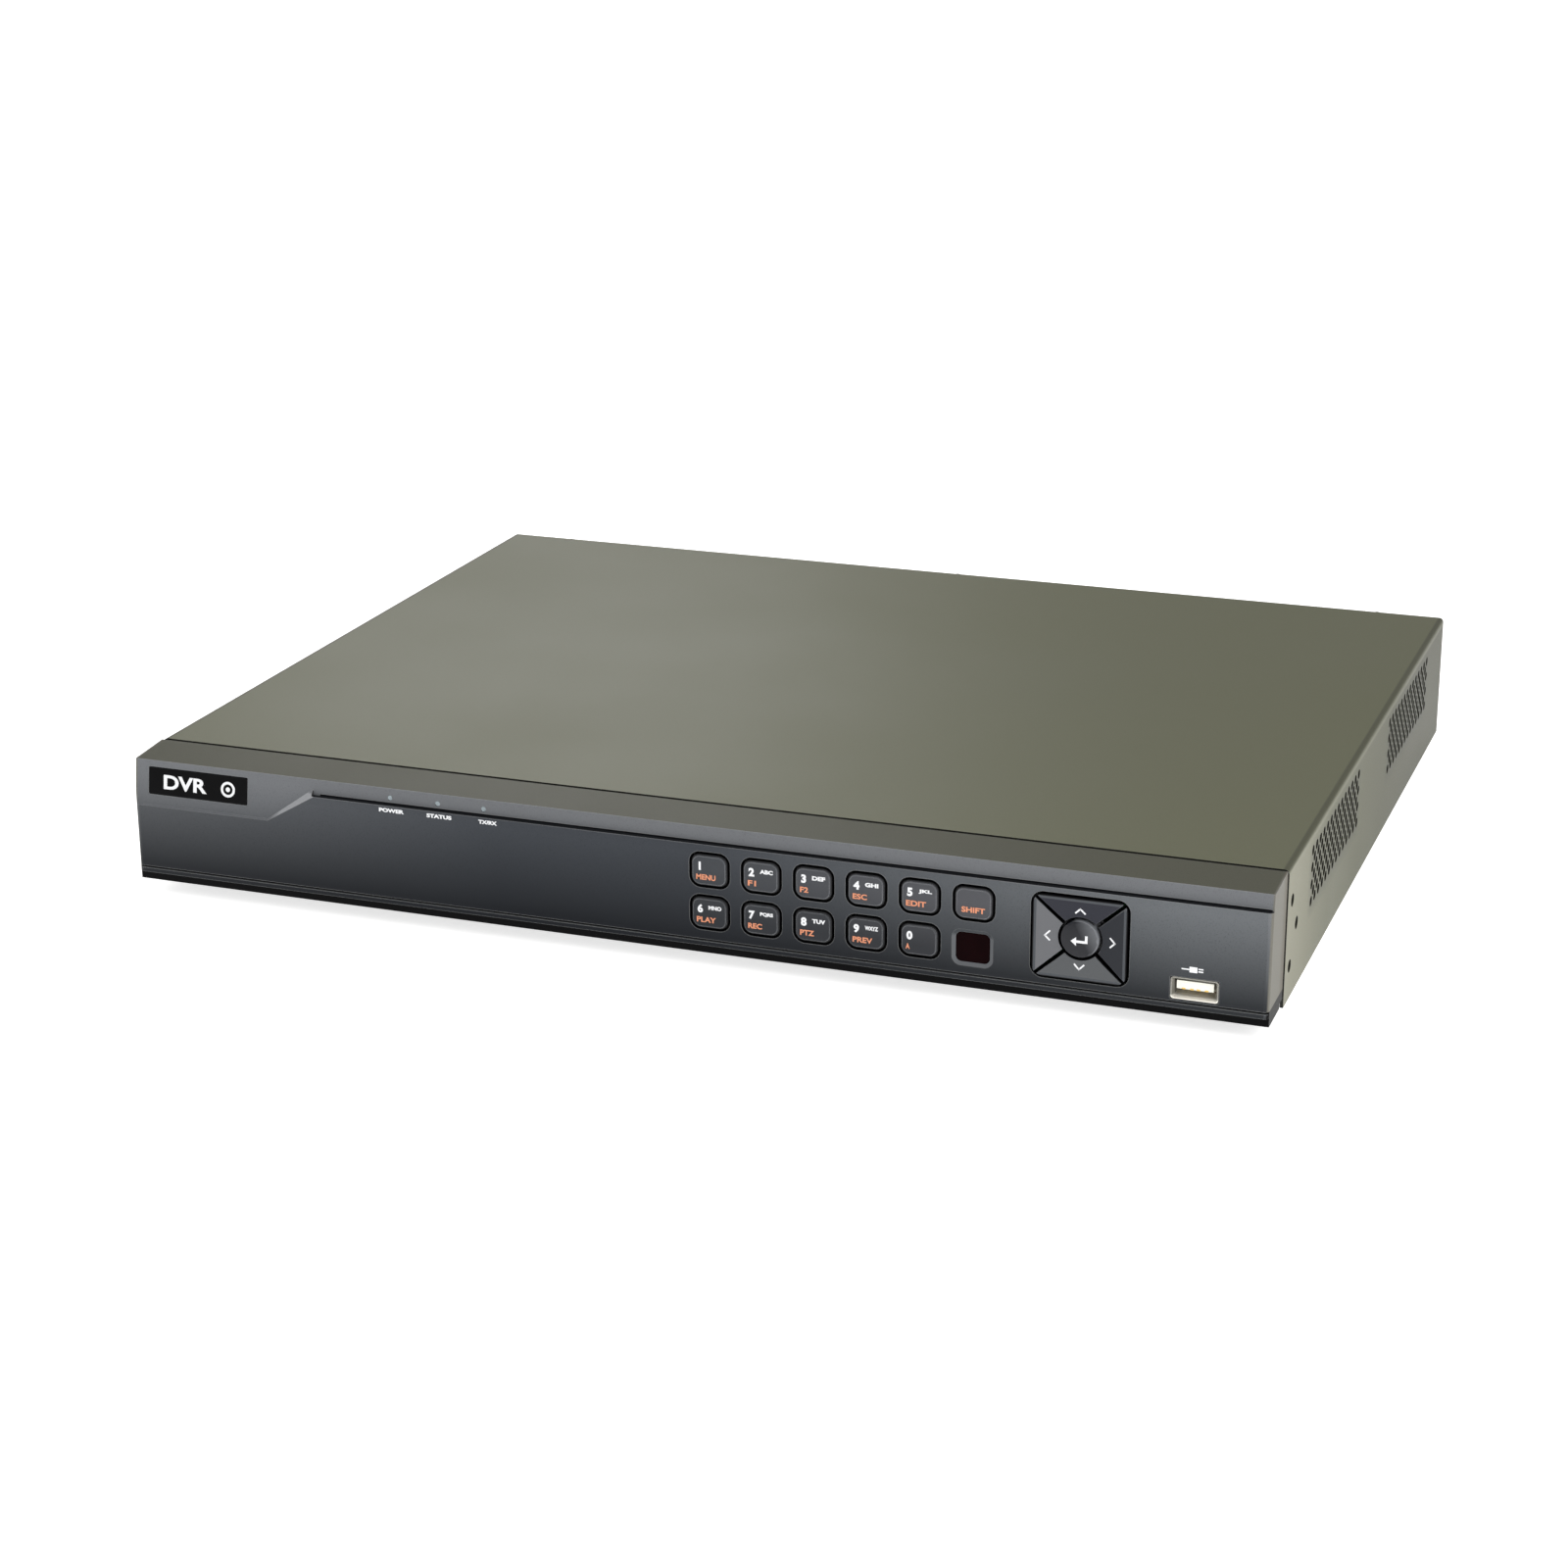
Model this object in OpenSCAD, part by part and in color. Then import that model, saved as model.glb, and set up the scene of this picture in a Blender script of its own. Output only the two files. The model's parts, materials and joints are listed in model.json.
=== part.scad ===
// Digital video recorder, one rack unit high, with a keypad front and sixteen camera inputs.
// +X is to the right seen from the front, +Y runs to the back and +Z is up, in millimetres.
// The origin is at the middle of the footprint, on the surface that the feet stand on.
// Modules draw in the case's own coordinates and place() moves them to that origin:
// there x = 0 is the middle, y = 0 the front face and z = 0 the underside of the tray.

/* [Case] */
// Width over the sides of the cover
case_w = 380; // [380:1:390]
// Depth from the front face to the back of the cover
case_d = 304; // [304:1:312]
// Height from the underside of the tray to the top of the cover
case_h = 44.4; // [44.2:0.1:45.4]
// Thickness of the sheet steel
sheet = 1; // [0.8:0.1:1]
// Height of the rubber feet
foot_h = 3.6; // [3:0.1:6]
// Radius of the rubber feet
foot_r = 9; // [6:0.5:12]

/* [Front bezel] */
// Depth of the moulded bezel
bezel_d = 20.6; // [20:0.1:21]
// Wall thickness of the bezel face
bezel_wall = 2.4; // [2:0.1:2.6]
// How far the top edge of the brow leans back
brow_back = 2.6; // [2:0.1:3]
// Height of the crease under the brow at the left
crease_z = 28; // [26:0.5:30]
// Height of the ledge under the light strip
ledge_z = 38.1; // [37.5:0.1:38.5]
// Left and right ends of the diagonal between crease and ledge
diagonal_x = [-140.6, -123.4];

/* [Keypad] */
// Width of a number key's cap
key_w = 12; // [11.4:0.1:12.2]
// Height of a number key's cap
key_h = 10.3; // [9.8:0.1:10.5]
// Gap between a cap and the bezel
key_gap = 0.8; // [0.5:0.05:0.85]
// How far the caps stand out of the bezel
key_proud = 0.6; // [0.4:0.1:0.8]
// Travel of every key
key_travel = 0.7; // [0.3:0.1:0.7]
// Distance between key columns
key_pitch_x = 17.08; // [16.5:0.01:17.2]
// Distance between key rows
key_pitch_z = 14.1; // [13.8:0.1:14.2]
// Width of the direction pad
pad_w = 29.1; // [28:0.1:29.3]
// Height of the direction pad
pad_h = 26.2; // [24:0.1:26.4]

/* [Side vents] */
// Holes in each full row
vent_cols = 14; // [8:1:14]
// Rows of holes, full and staggered rows counted together
vent_rows = 7; // [3:2:7]
// Diameter of a vent hole
vent_hole_d = 3.4; // [2:0.1:3.4]
// Length of a vent field
vent_len = 79.4; // [70:0.1:80]
// Distance between rows
vent_row_pitch = 2.8; // [2.7:0.05:2.85]
// Where each vent field starts, from the front face
vent_starts = [56.6, 190.6];

/* [Rear panel] */
// Distance between camera inputs in a row
bnc_pitch = 15.5; // [15:0.1:15.8]
// How far the camera inputs reach behind the cover
rear_out = 11; // [10:0.5:13]
// Angle between the two positions of the power rocker
rocker_throw = 24; // [16:1:24]

/* [Hidden] */
$fn = 48;

// How far the domed enter key stands in front of the face
front_out = 1;
overall_d = front_out + case_d + rear_out;
eps = 0.01;

// Case shell
half_w = case_w / 2;
cover_r = 1.6;
cover_front = 21;
fit_gap = 0.1;
tray_x = half_w - sheet - fit_gap;
tray_top = case_h - sheet - fit_gap;
wall_y = cover_front + 0.4;
rear_y = case_d - sheet;
lip_z = case_h - 5.2;
flange_h = 14;
ear_tab_l = 22;
ear_holes = [[27.8, 32.4], [35.8, 22.2], [27.8, 11.1]];
ear_hole_r = 1.65;
ear_collar_r = 3;
ear_collar_l = 2;
screw_r = 1.45;
screw_head_r = 2.7;
screw_head_h = 1.7;
cover_screw_x = [-165, 0, 165];
cover_screw_z = case_h - 3;
foot_xy = [[-164, 42], [164, 42], [-164, case_d - 30], [164, case_d - 30]];

// Bezel outline
bezel_x = half_w - 0.2;
bezel_bottom = 1.75;
chin_back = 1.1;
bezel_corner_r = 1.5;
top_front_z = case_h - 1.2;
top_slope = (case_h - top_front_z) / (bezel_d - brow_back);
brow_low_y = 0.4;
brow_slope = (brow_back - brow_low_y) / (top_front_z - crease_z);
brow_angle = atan(brow_slope);
back_chamfer = 1;
slot_h = 0.45;
slot_back = 3.3;
bezel_bosses = [[-182.5, 10], [-182.5, 34], [-30, 10], [-30, 34], [182.5, 10], [182.5, 34]];
badge_x = -166.6;
badge_z = 36.45;
badge_w = 36.2;
badge_h = 8.9;
led_x = [-96.9, -80.1, -64];
led_z = 40.1;
led_boss_x = [-100.5, -57];
led_boss_z = 32.5;

// Keypad
key_x0 = 13.5;
key_z = [29.8, 29.8 - key_pitch_z];
key_r = 2.9;
key_flange_y = bezel_wall + 0.3;
key_flange_t = 1;
switch_top_y = 7.3;
stem_end_y = switch_top_y - key_travel - 0.05;
key_board_y = 13;
board_t = 1.6;
key_board_bosses = [[3, 9], [3, 35.5], [111, 35.5], [111, 9], [154.5, 33], [152.5, 8.5]];
pad_x = 132;
pad_z = 22.6;
pad_r = 3.2;
pad_hole_r = 6.8;
pad_split = 1.1;
pad_rim = 1.1;
pad_slope = 8;
pad_stem = [11.2, 10.2];
enter_r = 5.9;
ir_x = 98.6;
ir_z = 15.1;
usb_x = 167.3;
usb_z = 11;

// Rear panel, whose sockets stand on the main board
board_z = 6;
board_top = board_z + board_t;
bnc_x0 = 51.5;
bnc_z = [14.2, 31.6];
rca_x = [5.5, 19.5, 33.5];
rca_z = [14.2, 30.2];
vga_x = -24;
vga_z = 30;
hdmi_x = -24;
hdmi_z = board_top + 2.8;
lan_x = -54;
lan_z = board_top + 6.8;
rear_usb_x = -77;
rear_usb_z = board_top + 3.15;
term_x = -99;
term_z = board_top + 4.5;
dc_x = -123;
dc_z = 14;
switch_x = -150;
switch_z = 22;
ground_x = -174;
ground_z = 12;

// Boards, fan and drive
board_y0 = 180;
board_y1 = rear_y - sheet - 0.5;
board_notch_y = 210;
board_notch_x = -60;
board_x = [-138, 174];
standoff_xy = [[-50, 190], [60, 190], [166, 190], [-130, 262], [-36, 262], [44, 262]];
heat_xy = [20, 225];
fan_y = 230;
fan_z = 21.6;
fan_size = 40;
fan_t = 10;
fan_x0 = -tray_x + sheet + 0.1;
fan_bore_r = 19;
drive_x = -121;
drive_y0 = 26;
drive_w = 101.6;
drive_l = 147;
drive_z0 = 4;
drive_h = 26.1;
drive_hole_x = 47.625;
drive_hole_y = [55.5, 131.7];
spindle_y = drive_y0 + 52;
platter_r = 47.5;
platter_z = [12, 17, 22];
platter_t = 1.3;
pivot_xy = [drive_x + 36, drive_y0 + 114];
arm_l = 50;
drive_boss_r = 3.6;
ribbon_x = 90;

// ---- Shared shapes ----

module place() translate([0, front_out - overall_d / 2, foot_h]) children();

module block(x0, x1, y0, y1, z0, z1)
    translate([x0, y0, z0]) cube([x1 - x0, y1 - y0, z1 - z0]);

module rod_x(x0, x1, y, z, r)
    translate([x0, y, z]) rotate([0, 90, 0]) cylinder(h = x1 - x0, r = r);

module rod_y(x, y0, y1, z, r)
    translate([x, y0, z]) rotate([-90, 0, 0]) cylinder(h = y1 - y0, r = r);

module rod_z(x, y, z0, z1, r)
    translate([x, y, z0]) cylinder(h = z1 - z0, r = r);

module round_rect(w, h, r) {
    square([w - 2 * r, h], center = true);
    square([w, h - 2 * r], center = true);
    for (sx = [-1, 1], sz = [-1, 1])
        translate([sx * (w / 2 - r), sz * (h / 2 - r)]) circle(r);
}

// Turns a flat outline drawn in X and Z into a slab from y0 back to y1
module slab_y(x, z, y0, y1)
    translate([x, y1, z]) rotate([90, 0, 0]) linear_extrude(y1 - y0) children();

module plate_y(x, z, w, h, r, y0, y1)
    slab_y(x, z, y0, y1) round_rect(w, h, r);

// Extrudes an outline drawn in Y and Z along X
module slab_x(x0, x1)
    translate([x0, 0, 0]) rotate([90, 0, 90]) linear_extrude(x1 - x0) children();

module side_sheet(side, y0, y1, z0, z1)
    block(side > 0 ? tray_x - sheet : -tray_x, side > 0 ? tray_x : sheet - tray_x, y0, y1, z0, z1);

// ---- Case ----

// Draws its children at the four mounting holes of a drive centred on x
module at_drive_holes(x)
    for (sx = [-1, 1], y = drive_hole_y)
        translate([x + sx * drive_hole_x, y, 0]) children();

module floor_slots(x)
    for (i = [-3 : 3])
        translate([x + i * 9, 94, -eps]) linear_extrude(sheet + 2 * eps) round_rect(3, 40, 1.4);

module rear_openings() {
    for (i = [0 : 7], z = bnc_z)
        rod_y(bnc_x0 + i * bnc_pitch, rear_y - sheet - eps, rear_y + eps, z, 6.3);
    for (x = rca_x, z = rca_z)
        rod_y(x, rear_y - sheet - eps, rear_y + eps, z, 5.7);
    plate_y(vga_x, vga_z, 19, 10.4, 2.5, rear_y - sheet - eps, rear_y + eps);
    for (side = [-1, 1])
        rod_y(vga_x + side * 12.5, rear_y - sheet - eps, rear_y + eps, vga_z, 1.7);
    plate_y(hdmi_x, hdmi_z, 15.6, 6.2, 0.5, rear_y - sheet - eps, rear_y + eps);
    plate_y(lan_x, lan_z, 16.4, 14, 0.3, rear_y - sheet - eps, rear_y + eps);
    plate_y(rear_usb_x, rear_usb_z, 14.2, 6.9, 0.4, rear_y - sheet - eps, rear_y + eps);
    plate_y(term_x, term_z, 17, 10, 0.3, rear_y - sheet - eps, rear_y + eps);
    rod_y(dc_x, rear_y - sheet - eps, rear_y + eps, dc_z, 5.2);
    plate_y(switch_x, switch_z, 13.2, 19.6, 0.5, rear_y - sheet - eps, rear_y + eps);
    rod_y(ground_x, rear_y - sheet - eps, rear_y + eps, ground_z, 1.75);
    for (x = cover_screw_x)
        rod_y(x, rear_y - sheet - eps, rear_y + eps, cover_screw_z, screw_r + 0.05);
}

module front_wall_openings() {
    for (p = bezel_bosses)
        rod_y(p[0], wall_y - eps, wall_y + sheet + eps, p[1], screw_r + 0.2);
    plate_y(ribbon_x, 9, 34, 8, 2, wall_y - eps, wall_y + sheet + eps);
    plate_y(-80, 22, 60, 16, 3, wall_y - eps, wall_y + sheet + eps);
    plate_y(130, 24, 60, 16, 3, wall_y - eps, wall_y + sheet + eps);
}

module base_tray() color("#9a9c9f") place() difference() {
    union() {
        block(-tray_x, tray_x, wall_y, rear_y, 0, sheet);
        block(-tray_x, tray_x, wall_y, wall_y + sheet, 0, tray_top);
        block(-tray_x, tray_x, rear_y - sheet, rear_y, 0, tray_top);
        for (side = [-1, 1]) {
            side_sheet(side, wall_y, rear_y, 0, flange_h);
            side_sheet(side, wall_y, wall_y + ear_tab_l, 0, tray_top - 3);
            for (p = ear_holes)
                rod_x(side > 0 ? tray_x - sheet - ear_collar_l : -tray_x,
                      side > 0 ? tray_x : sheet + ear_collar_l - tray_x, p[0], p[1], ear_collar_r);
        }
        side_sheet(-1, fan_y - fan_size / 2 - 2, fan_y + fan_size / 2 + 2, 0, tray_top - 1);
        for (x = [drive_x, -drive_x])
            at_drive_holes(x) cylinder(h = drive_z0 + 2, r = drive_boss_r);
    }
    rear_openings();
    front_wall_openings();
    for (x = [drive_x, -drive_x]) {
        at_drive_holes(x) translate([0, 0, -eps]) cylinder(h = drive_z0 + 3, r = 1.9);
        floor_slots(x);
    }
    for (side = [-1, 1], p = ear_holes)
        rod_x(side * half_w - 6, side * half_w + 6, p[0], p[1], ear_hole_r);
    rod_x(-tray_x - eps, sheet - tray_x + eps, fan_y, fan_z, fan_bore_r);
    for (sy = [-1, 1], sz = [-1, 1])
        rod_x(-tray_x - eps, sheet - tray_x + eps, fan_y + sy * 16, fan_z + sz * 16, screw_r + 0.2);
}

module vent_field(y_start) {
    pitch = (vent_len - vent_hole_d) / (vent_cols - 1);
    top_z = case_h - 6.7;
    for (row = [0 : vent_rows - 1])
        for (col = [0 : vent_cols - 1 - row % 2])
            rod_x(-half_w - 1, half_w + 1,
                  y_start + vent_hole_d / 2 + pitch * (col + (row % 2) / 2),
                  top_z - row * vent_row_pitch, vent_hole_d / 2);
}

module cover_section(w, h, r) {
    translate([-w / 2 + r, 0]) square([w - 2 * r, h]);
    translate([-w / 2, 0]) square([w, h - r]);
    for (side = [-1, 1])
        translate([side * (w / 2 - r), h - r]) circle(r);
}

module top_cover() color("#7b7a6b") place() difference() {
    union() {
        slab_y(0, 0, cover_front, case_d) difference() {
            cover_section(case_w, case_h, cover_r);
            translate([0, -1]) cover_section(case_w - 2 * sheet, case_h - sheet + 1, cover_r - sheet);
        }
        block(-half_w + 1.5, half_w - 1.5, rear_y, case_d, lip_z, case_h - sheet);
    }
    for (y = vent_starts)
        vent_field(y);
    for (side = [-1, 1], p = ear_holes)
        rod_x(side * half_w - 2, side * half_w + 2, p[0], p[1], 2.1);
    for (x = cover_screw_x)
        rod_y(x, rear_y - eps, case_d + eps, cover_screw_z, screw_r + 0.2);
}

module feet() color("#26262a") place()
    for (p = foot_xy) {
        rod_z(p[0], p[1], -foot_h, -0.8, foot_r);
        rod_z(p[0], p[1], -0.8, 0, foot_r - 0.8);
    }

// Pan-head screw along +Y with its head at the low end, or along -Y when flip is -1
module screw_y(x, y, z, l, flip = 1) translate([x, y, z]) rotate([-90 * flip, 0, 0]) {
    translate([0, 0, -screw_head_h]) cylinder(h = screw_head_h, r = screw_head_r);
    cylinder(h = l, r = screw_r);
}

module screw_z(x, y, z, l, flip = 1) translate([x, y, z]) rotate([flip > 0 ? 0 : 180, 0, 0]) {
    translate([0, 0, -screw_head_h]) cylinder(h = screw_head_h, r = screw_head_r);
    cylinder(h = l, r = screw_r);
}

module pan_screws() color("#b9babd") place() {
    for (x = cover_screw_x)
        screw_y(x, case_d, cover_screw_z, 6, -1);
    for (p = bezel_bosses)
        screw_y(p[0], wall_y + sheet, p[1], 8, -1);
    for (p = key_board_bosses)
        screw_y(p[0], key_board_y + board_t, p[1], 6, -1);
    for (x = led_boss_x)
        screw_y(x, key_board_y + board_t, led_boss_z, 6, -1);
    for (p = standoff_xy)
        screw_z(p[0], p[1], board_top, 5, -1);
    at_drive_holes(drive_x) screw_z(0, 0, 0, 8);
}

// ---- Front bezel ----

// Outline of the bezel seen from the right: y across, z up
module bezel_profile() polygon([
    [bezel_d, bezel_bottom], [chin_back, bezel_bottom], [chin_back, 4.5], [0, 4.5],
    [0, 6], [0.9, 6], [0.9, 6.7], [0, 6.7],
    [0, top_front_z - brow_back * top_slope],
    [bezel_d - back_chamfer, case_h - back_chamfer * top_slope], [bezel_d, case_h - back_chamfer]
]);

module bezel_hollow() polygon([
    [bezel_d + 1, 3.6], [4, 3.6], [bezel_wall, 5.4], [bezel_wall, 37], [5, 38], [5, 41.2], [bezel_d + 1, 42.3]
]);

// Outline seen from above, with round front corners and chamfered back ones
module bezel_plan() {
    back_y = bezel_d - back_chamfer;
    polygon([
        [-bezel_x, bezel_corner_r], [bezel_x, bezel_corner_r], [bezel_x, back_y],
        [bezel_x - back_chamfer, bezel_d], [back_chamfer - bezel_x, bezel_d], [-bezel_x, back_y]
    ]);
    translate([bezel_corner_r - bezel_x, 0]) square([2 * (bezel_x - bezel_corner_r), back_y]);
    for (side = [-1, 1])
        translate([side * (bezel_x - bezel_corner_r), bezel_corner_r]) circle(bezel_corner_r);
}

function brow_y(z) = brow_low_y + (z - crease_z) * brow_slope;

// Everything in front of the leaning brow plane
module before_brow() slab_x(-half_w - 1, half_w + 1) polygon([
    [-2, crease_z - 3], [brow_y(crease_z - 3), crease_z - 3],
    [brow_y(case_h + 1), case_h + 1], [-2, case_h + 1]
]);

// How far the diagonal's ends move left at depth d, for an edge that slopes back at 45 degrees
function window_shift(d) = d * tan(atan2(ledge_z - crease_z, diagonal_x[1] - diagonal_x[0]) / 2);

// Outline over the crease and the diagonal, drawn at depth d
module brow_window(d) {
    shift = window_shift(d);
    slab_y(0, 0, d, d + eps) polygon([
        [-half_w - 1, crease_z + d], [diagonal_x[0] - shift, crease_z + d],
        [diagonal_x[1] - shift, ledge_z + d], [diagonal_x[1] - shift, case_h + 2], [-half_w - 1, case_h + 2]
    ]);
}

module brow_cut() intersection() {
    before_brow();
    union() {
        hull() {
            brow_window(-1);
            brow_window(slot_back);
        }
        block(diagonal_x[1] - window_shift(slot_back) - 0.1, half_w + 1, -3, slot_back, ledge_z, case_h + 2);
    }
}

// Draws its children on the leaning brow, with local y pointing into the bezel
module on_brow(x, z) translate([x, brow_y(z), z]) rotate([-brow_angle, 0, 0]) children();

module front_openings() {
    for (col = [0 : 5], row = [0, 1])
        if (col < 5 || row == 0)
            plate_y(key_x0 + col * key_pitch_x, key_z[row], key_w + 2 * key_gap, key_h + 2 * key_gap,
                    key_r + key_gap, -1, bezel_wall + 1);
    plate_y(pad_x, pad_z, pad_w + 2 * key_gap, pad_h + 2 * key_gap, pad_r + key_gap, -1, bezel_wall + 1);
    plate_y(ir_x, ir_z, 10.8, 9.6, 1.8, -1, bezel_wall + 1);
    // Sloping sides round the infrared window
    hull() {
        plate_y(ir_x, ir_z, 13.1, 11.9, 2.9, -0.1, 0);
        plate_y(ir_x, ir_z, 10.8, 9.6, 1.8, 0.6, 0.7);
    }
    plate_y(usb_x, usb_z, 14.9, 7.3, 0.6, -1, bezel_wall + 1);
    for (x = led_x)
        rod_y(x, -1, 8, led_z, 0.9);
}

module front_bezel() color("#53565a") place() difference() {
    union() {
        difference() {
            intersection() {
                slab_x(-half_w, half_w) bezel_profile();
                linear_extrude(case_h + 1) bezel_plan();
            }
            slab_x(-bezel_x + 2.2, bezel_x - 2.2) bezel_hollow();
            brow_cut();
            block(diagonal_x[1] + 1.5, bezel_x - 0.6, -1, slot_back, ledge_z, ledge_z + slot_h);
            for (side = [-1, 1])
                block(side * bezel_x - 3, side * bezel_x + 3, bezel_d - 4.6, bezel_d + 1, 0, 3.4);
        }
        // Thicker wall behind the badge
        block(badge_x - badge_w / 2 - 2, badge_x + badge_w / 2 + 2, bezel_wall - 0.2, 4.4, 30, 39.5);
        for (p = bezel_bosses)
            rod_y(p[0], bezel_wall - 0.2, wall_y, p[1], 3.4);
        for (p = key_board_bosses)
            rod_y(p[0], bezel_wall - 0.2, key_board_y, p[1], 2.4);
        for (x = led_boss_x)
            rod_y(x, bezel_wall - 0.2, key_board_y, led_boss_z, 2.4);
    }
    front_openings();
    on_brow(badge_x, badge_z) translate([0, 0.5, 0]) rotate([90, 0, 0])
        linear_extrude(2) round_rect(badge_w + 0.4, badge_h + 0.4, 0.5);
    for (p = bezel_bosses)
        rod_y(p[0], wall_y - 9, wall_y + 1, p[1], screw_r + 0.05);
    for (p = key_board_bosses)
        rod_y(p[0], key_board_y - 7, key_board_y + 1, p[1], screw_r + 0.05);
    for (x = led_boss_x)
        rod_y(x, key_board_y - 7, key_board_y + 1, led_boss_z, screw_r + 0.05);
}

module name_badge() color("#111114") place()
    on_brow(badge_x, badge_z) translate([0, 0.5, 0]) rotate([90, 0, 0])
        linear_extrude(0.7) round_rect(badge_w, badge_h, 0.4);

module ir_window() color("#1d0d10") place() {
    plate_y(ir_x, ir_z, 10.6, 9.4, 1.7, 0.7, bezel_wall);
    plate_y(ir_x, ir_z, 13, 11.4, 1.7, bezel_wall, bezel_wall + 1);
}

module light_pipe() color("#e8eef2") place() {
    for (x = led_x)
        rod_y(x, brow_y(led_z), 10, led_z, 0.8);
    block(led_x[0] - 2, led_x[2] + 2, 6, 7.4, led_z - 2.4, led_z);
}

module status_leds() color("#d8f0d8") place()
    for (x = led_x)
        block(x - 0.8, x + 0.8, 11.8, key_board_y, led_z - 1.2, led_z + 0.4);

module led_board() color("#1f5a37") place() difference() {
    block(-104, -53.5, key_board_y, key_board_y + board_t, 29, 41);
    for (x = led_boss_x)
        rod_y(x, key_board_y - 1, key_board_y + board_t + 1, led_boss_z, screw_r + 0.2);
}

// ---- Keys ----

module cap_stem(x, z, y0) rod_y(x, y0, stem_end_y, z, 1.5);

module number_key(col, row) place() {
    x = key_x0 + col * key_pitch_x;
    z = key_z[row];
    plate_y(x, z, key_w - 1, key_h - 1, key_r - 0.5, -key_proud, 0);
    plate_y(x, z, key_w, key_h, key_r, 0, key_flange_y);
    plate_y(x, z, key_w + 2.4, key_h + 2.4, key_r, key_flange_y, key_flange_y + key_flange_t);
    cap_stem(x, z, key_flange_y + key_flange_t);
}

key_colour = "#3a3d42";
module key_1() color(key_colour) number_key(0, 0);
module key_2() color(key_colour) number_key(1, 0);
module key_3() color(key_colour) number_key(2, 0);
module key_4() color(key_colour) number_key(3, 0);
module key_5() color(key_colour) number_key(4, 0);
module key_shift() color(key_colour) number_key(5, 0);
module key_6() color(key_colour) number_key(0, 1);
module key_7() color(key_colour) number_key(1, 1);
module key_8() color(key_colour) number_key(2, 1);
module key_9() color(key_colour) number_key(3, 1);
module key_0() color(key_colour) number_key(4, 1);

// Quarter of the pad between its two diagonals, on the side that (sx, sz) points to
module pad_wedge(sx, sz) {
    lean = atan2(pad_h, pad_w);
    gap_x = pad_split / 2 / sin(lean);
    gap_z = pad_split / 2 / cos(lean);
    translate([sx * gap_x, sz * gap_z])
        polygon(sx == 0
            ? [[0, 0], [pad_w, sz * pad_h], [-pad_w, sz * pad_h]]
            : [[0, 0], [sx * pad_w, pad_h], [sx * pad_w, -pad_h]]);
}

module pad_outline(sx, sz, w, h, r) difference() {
    intersection() {
        round_rect(w, h, r);
        pad_wedge(sx, sz);
    }
    circle(pad_hole_r);
}

// Space in front of a pad key's face, which slopes inwards from a flat rim
module pad_dish(sx, sz) {
    reach = pad_w;
    translate([pad_x + sx * (pad_w / 2 - pad_rim), -key_proud, pad_z + sz * (pad_h / 2 - pad_rim)])
        rotate([sz * pad_slope, 0, -sx * pad_slope])
            block(sx < 0 ? 0 : -reach, sx > 0 ? 0 : reach, -3, 0, sz < 0 ? 0 : -reach, sz > 0 ? 0 : reach);
}

module pad_key(sx, sz) place() {
    difference() {
        slab_y(pad_x, pad_z, -key_proud, key_flange_y) pad_outline(sx, sz, pad_w, pad_h, pad_r);
        pad_dish(sx, sz);
    }
    slab_y(pad_x, pad_z, key_flange_y, key_flange_y + key_flange_t)
        pad_outline(sx, sz, pad_w + 2.8, pad_h + 2.2, pad_r);
    cap_stem(pad_x + sx * pad_stem[0], pad_z + sz * pad_stem[1], key_flange_y + key_flange_t);
}

module pad_up() color(key_colour) pad_key(0, 1);
module pad_down() color(key_colour) pad_key(0, -1);
module pad_left() color(key_colour) pad_key(-1, 0);
module pad_right() color(key_colour) pad_key(1, 0);

// The enter key's front is a slice of a sphere
module pad_enter() color("#55585e") place() {
    dome_h = front_out - 0.3;
    dome_r = (enter_r * enter_r + dome_h * dome_h) / (2 * dome_h);
    intersection() {
        translate([pad_x, dome_r - front_out, pad_z]) sphere(r = dome_r, $fn = 96);
        rod_y(pad_x, -front_out - 1, 2, pad_z, enter_r);
    }
    rod_y(pad_x, 2, key_flange_y + key_flange_t + key_travel + 0.2, pad_z, enter_r);
    rod_y(pad_x, key_flange_y + key_flange_t + key_travel + 0.2, key_flange_y + key_flange_t + key_travel + 1,
          pad_z, 7.4);
    cap_stem(pad_x, pad_z, key_flange_y + key_flange_t + key_travel + 1);
}

switch_spots = concat(
    [for (col = [0 : 5]) [key_x0 + col * key_pitch_x, key_z[0]]],
    [for (col = [0 : 4]) [key_x0 + col * key_pitch_x, key_z[1]]],
    [[pad_x, pad_z], [pad_x - pad_stem[0], pad_z], [pad_x + pad_stem[0], pad_z],
     [pad_x, pad_z - pad_stem[1]], [pad_x, pad_z + pad_stem[1]]]
);

module tact_switches() color("#2b2b2e") place()
    for (p = switch_spots) {
        plate_y(p[0], p[1], 6, 6, 0.4, key_board_y - 3.5, key_board_y);
        rod_y(p[0], switch_top_y, key_board_y - 3.5, p[1], 1.75);
    }

module key_board() color("#1f5a37") place() difference() {
    block(-1, 176.5, key_board_y, key_board_y + board_t, 5.2, 38);
    for (p = key_board_bosses)
        rod_y(p[0], key_board_y - 1, key_board_y + board_t + 1, p[1], screw_r + 0.2);
}

module ir_receiver() color("#1a1a1d") place() {
    block(ir_x - 3, ir_x + 3, 8.5, key_board_y, ir_z - 3.5, ir_z + 3.5);
    intersection() {
        translate([ir_x, 8.5, ir_z]) sphere(r = 2.6);
        block(ir_x - 3, ir_x + 3, 5, 8.5, ir_z - 3, ir_z + 3);
    }
}

// USB receptacle shell from y0 back to y1, open at y0
module usb_shell(x, z, y0, y1, wall) difference() {
    plate_y(x, z, 12.5 + 2 * wall, 5.1 + 2 * wall, 0.7, y0, y1);
    plate_y(x, z, 12.5, 5.1, 0.3, y0 - 1, y1 - 1);
}

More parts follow.
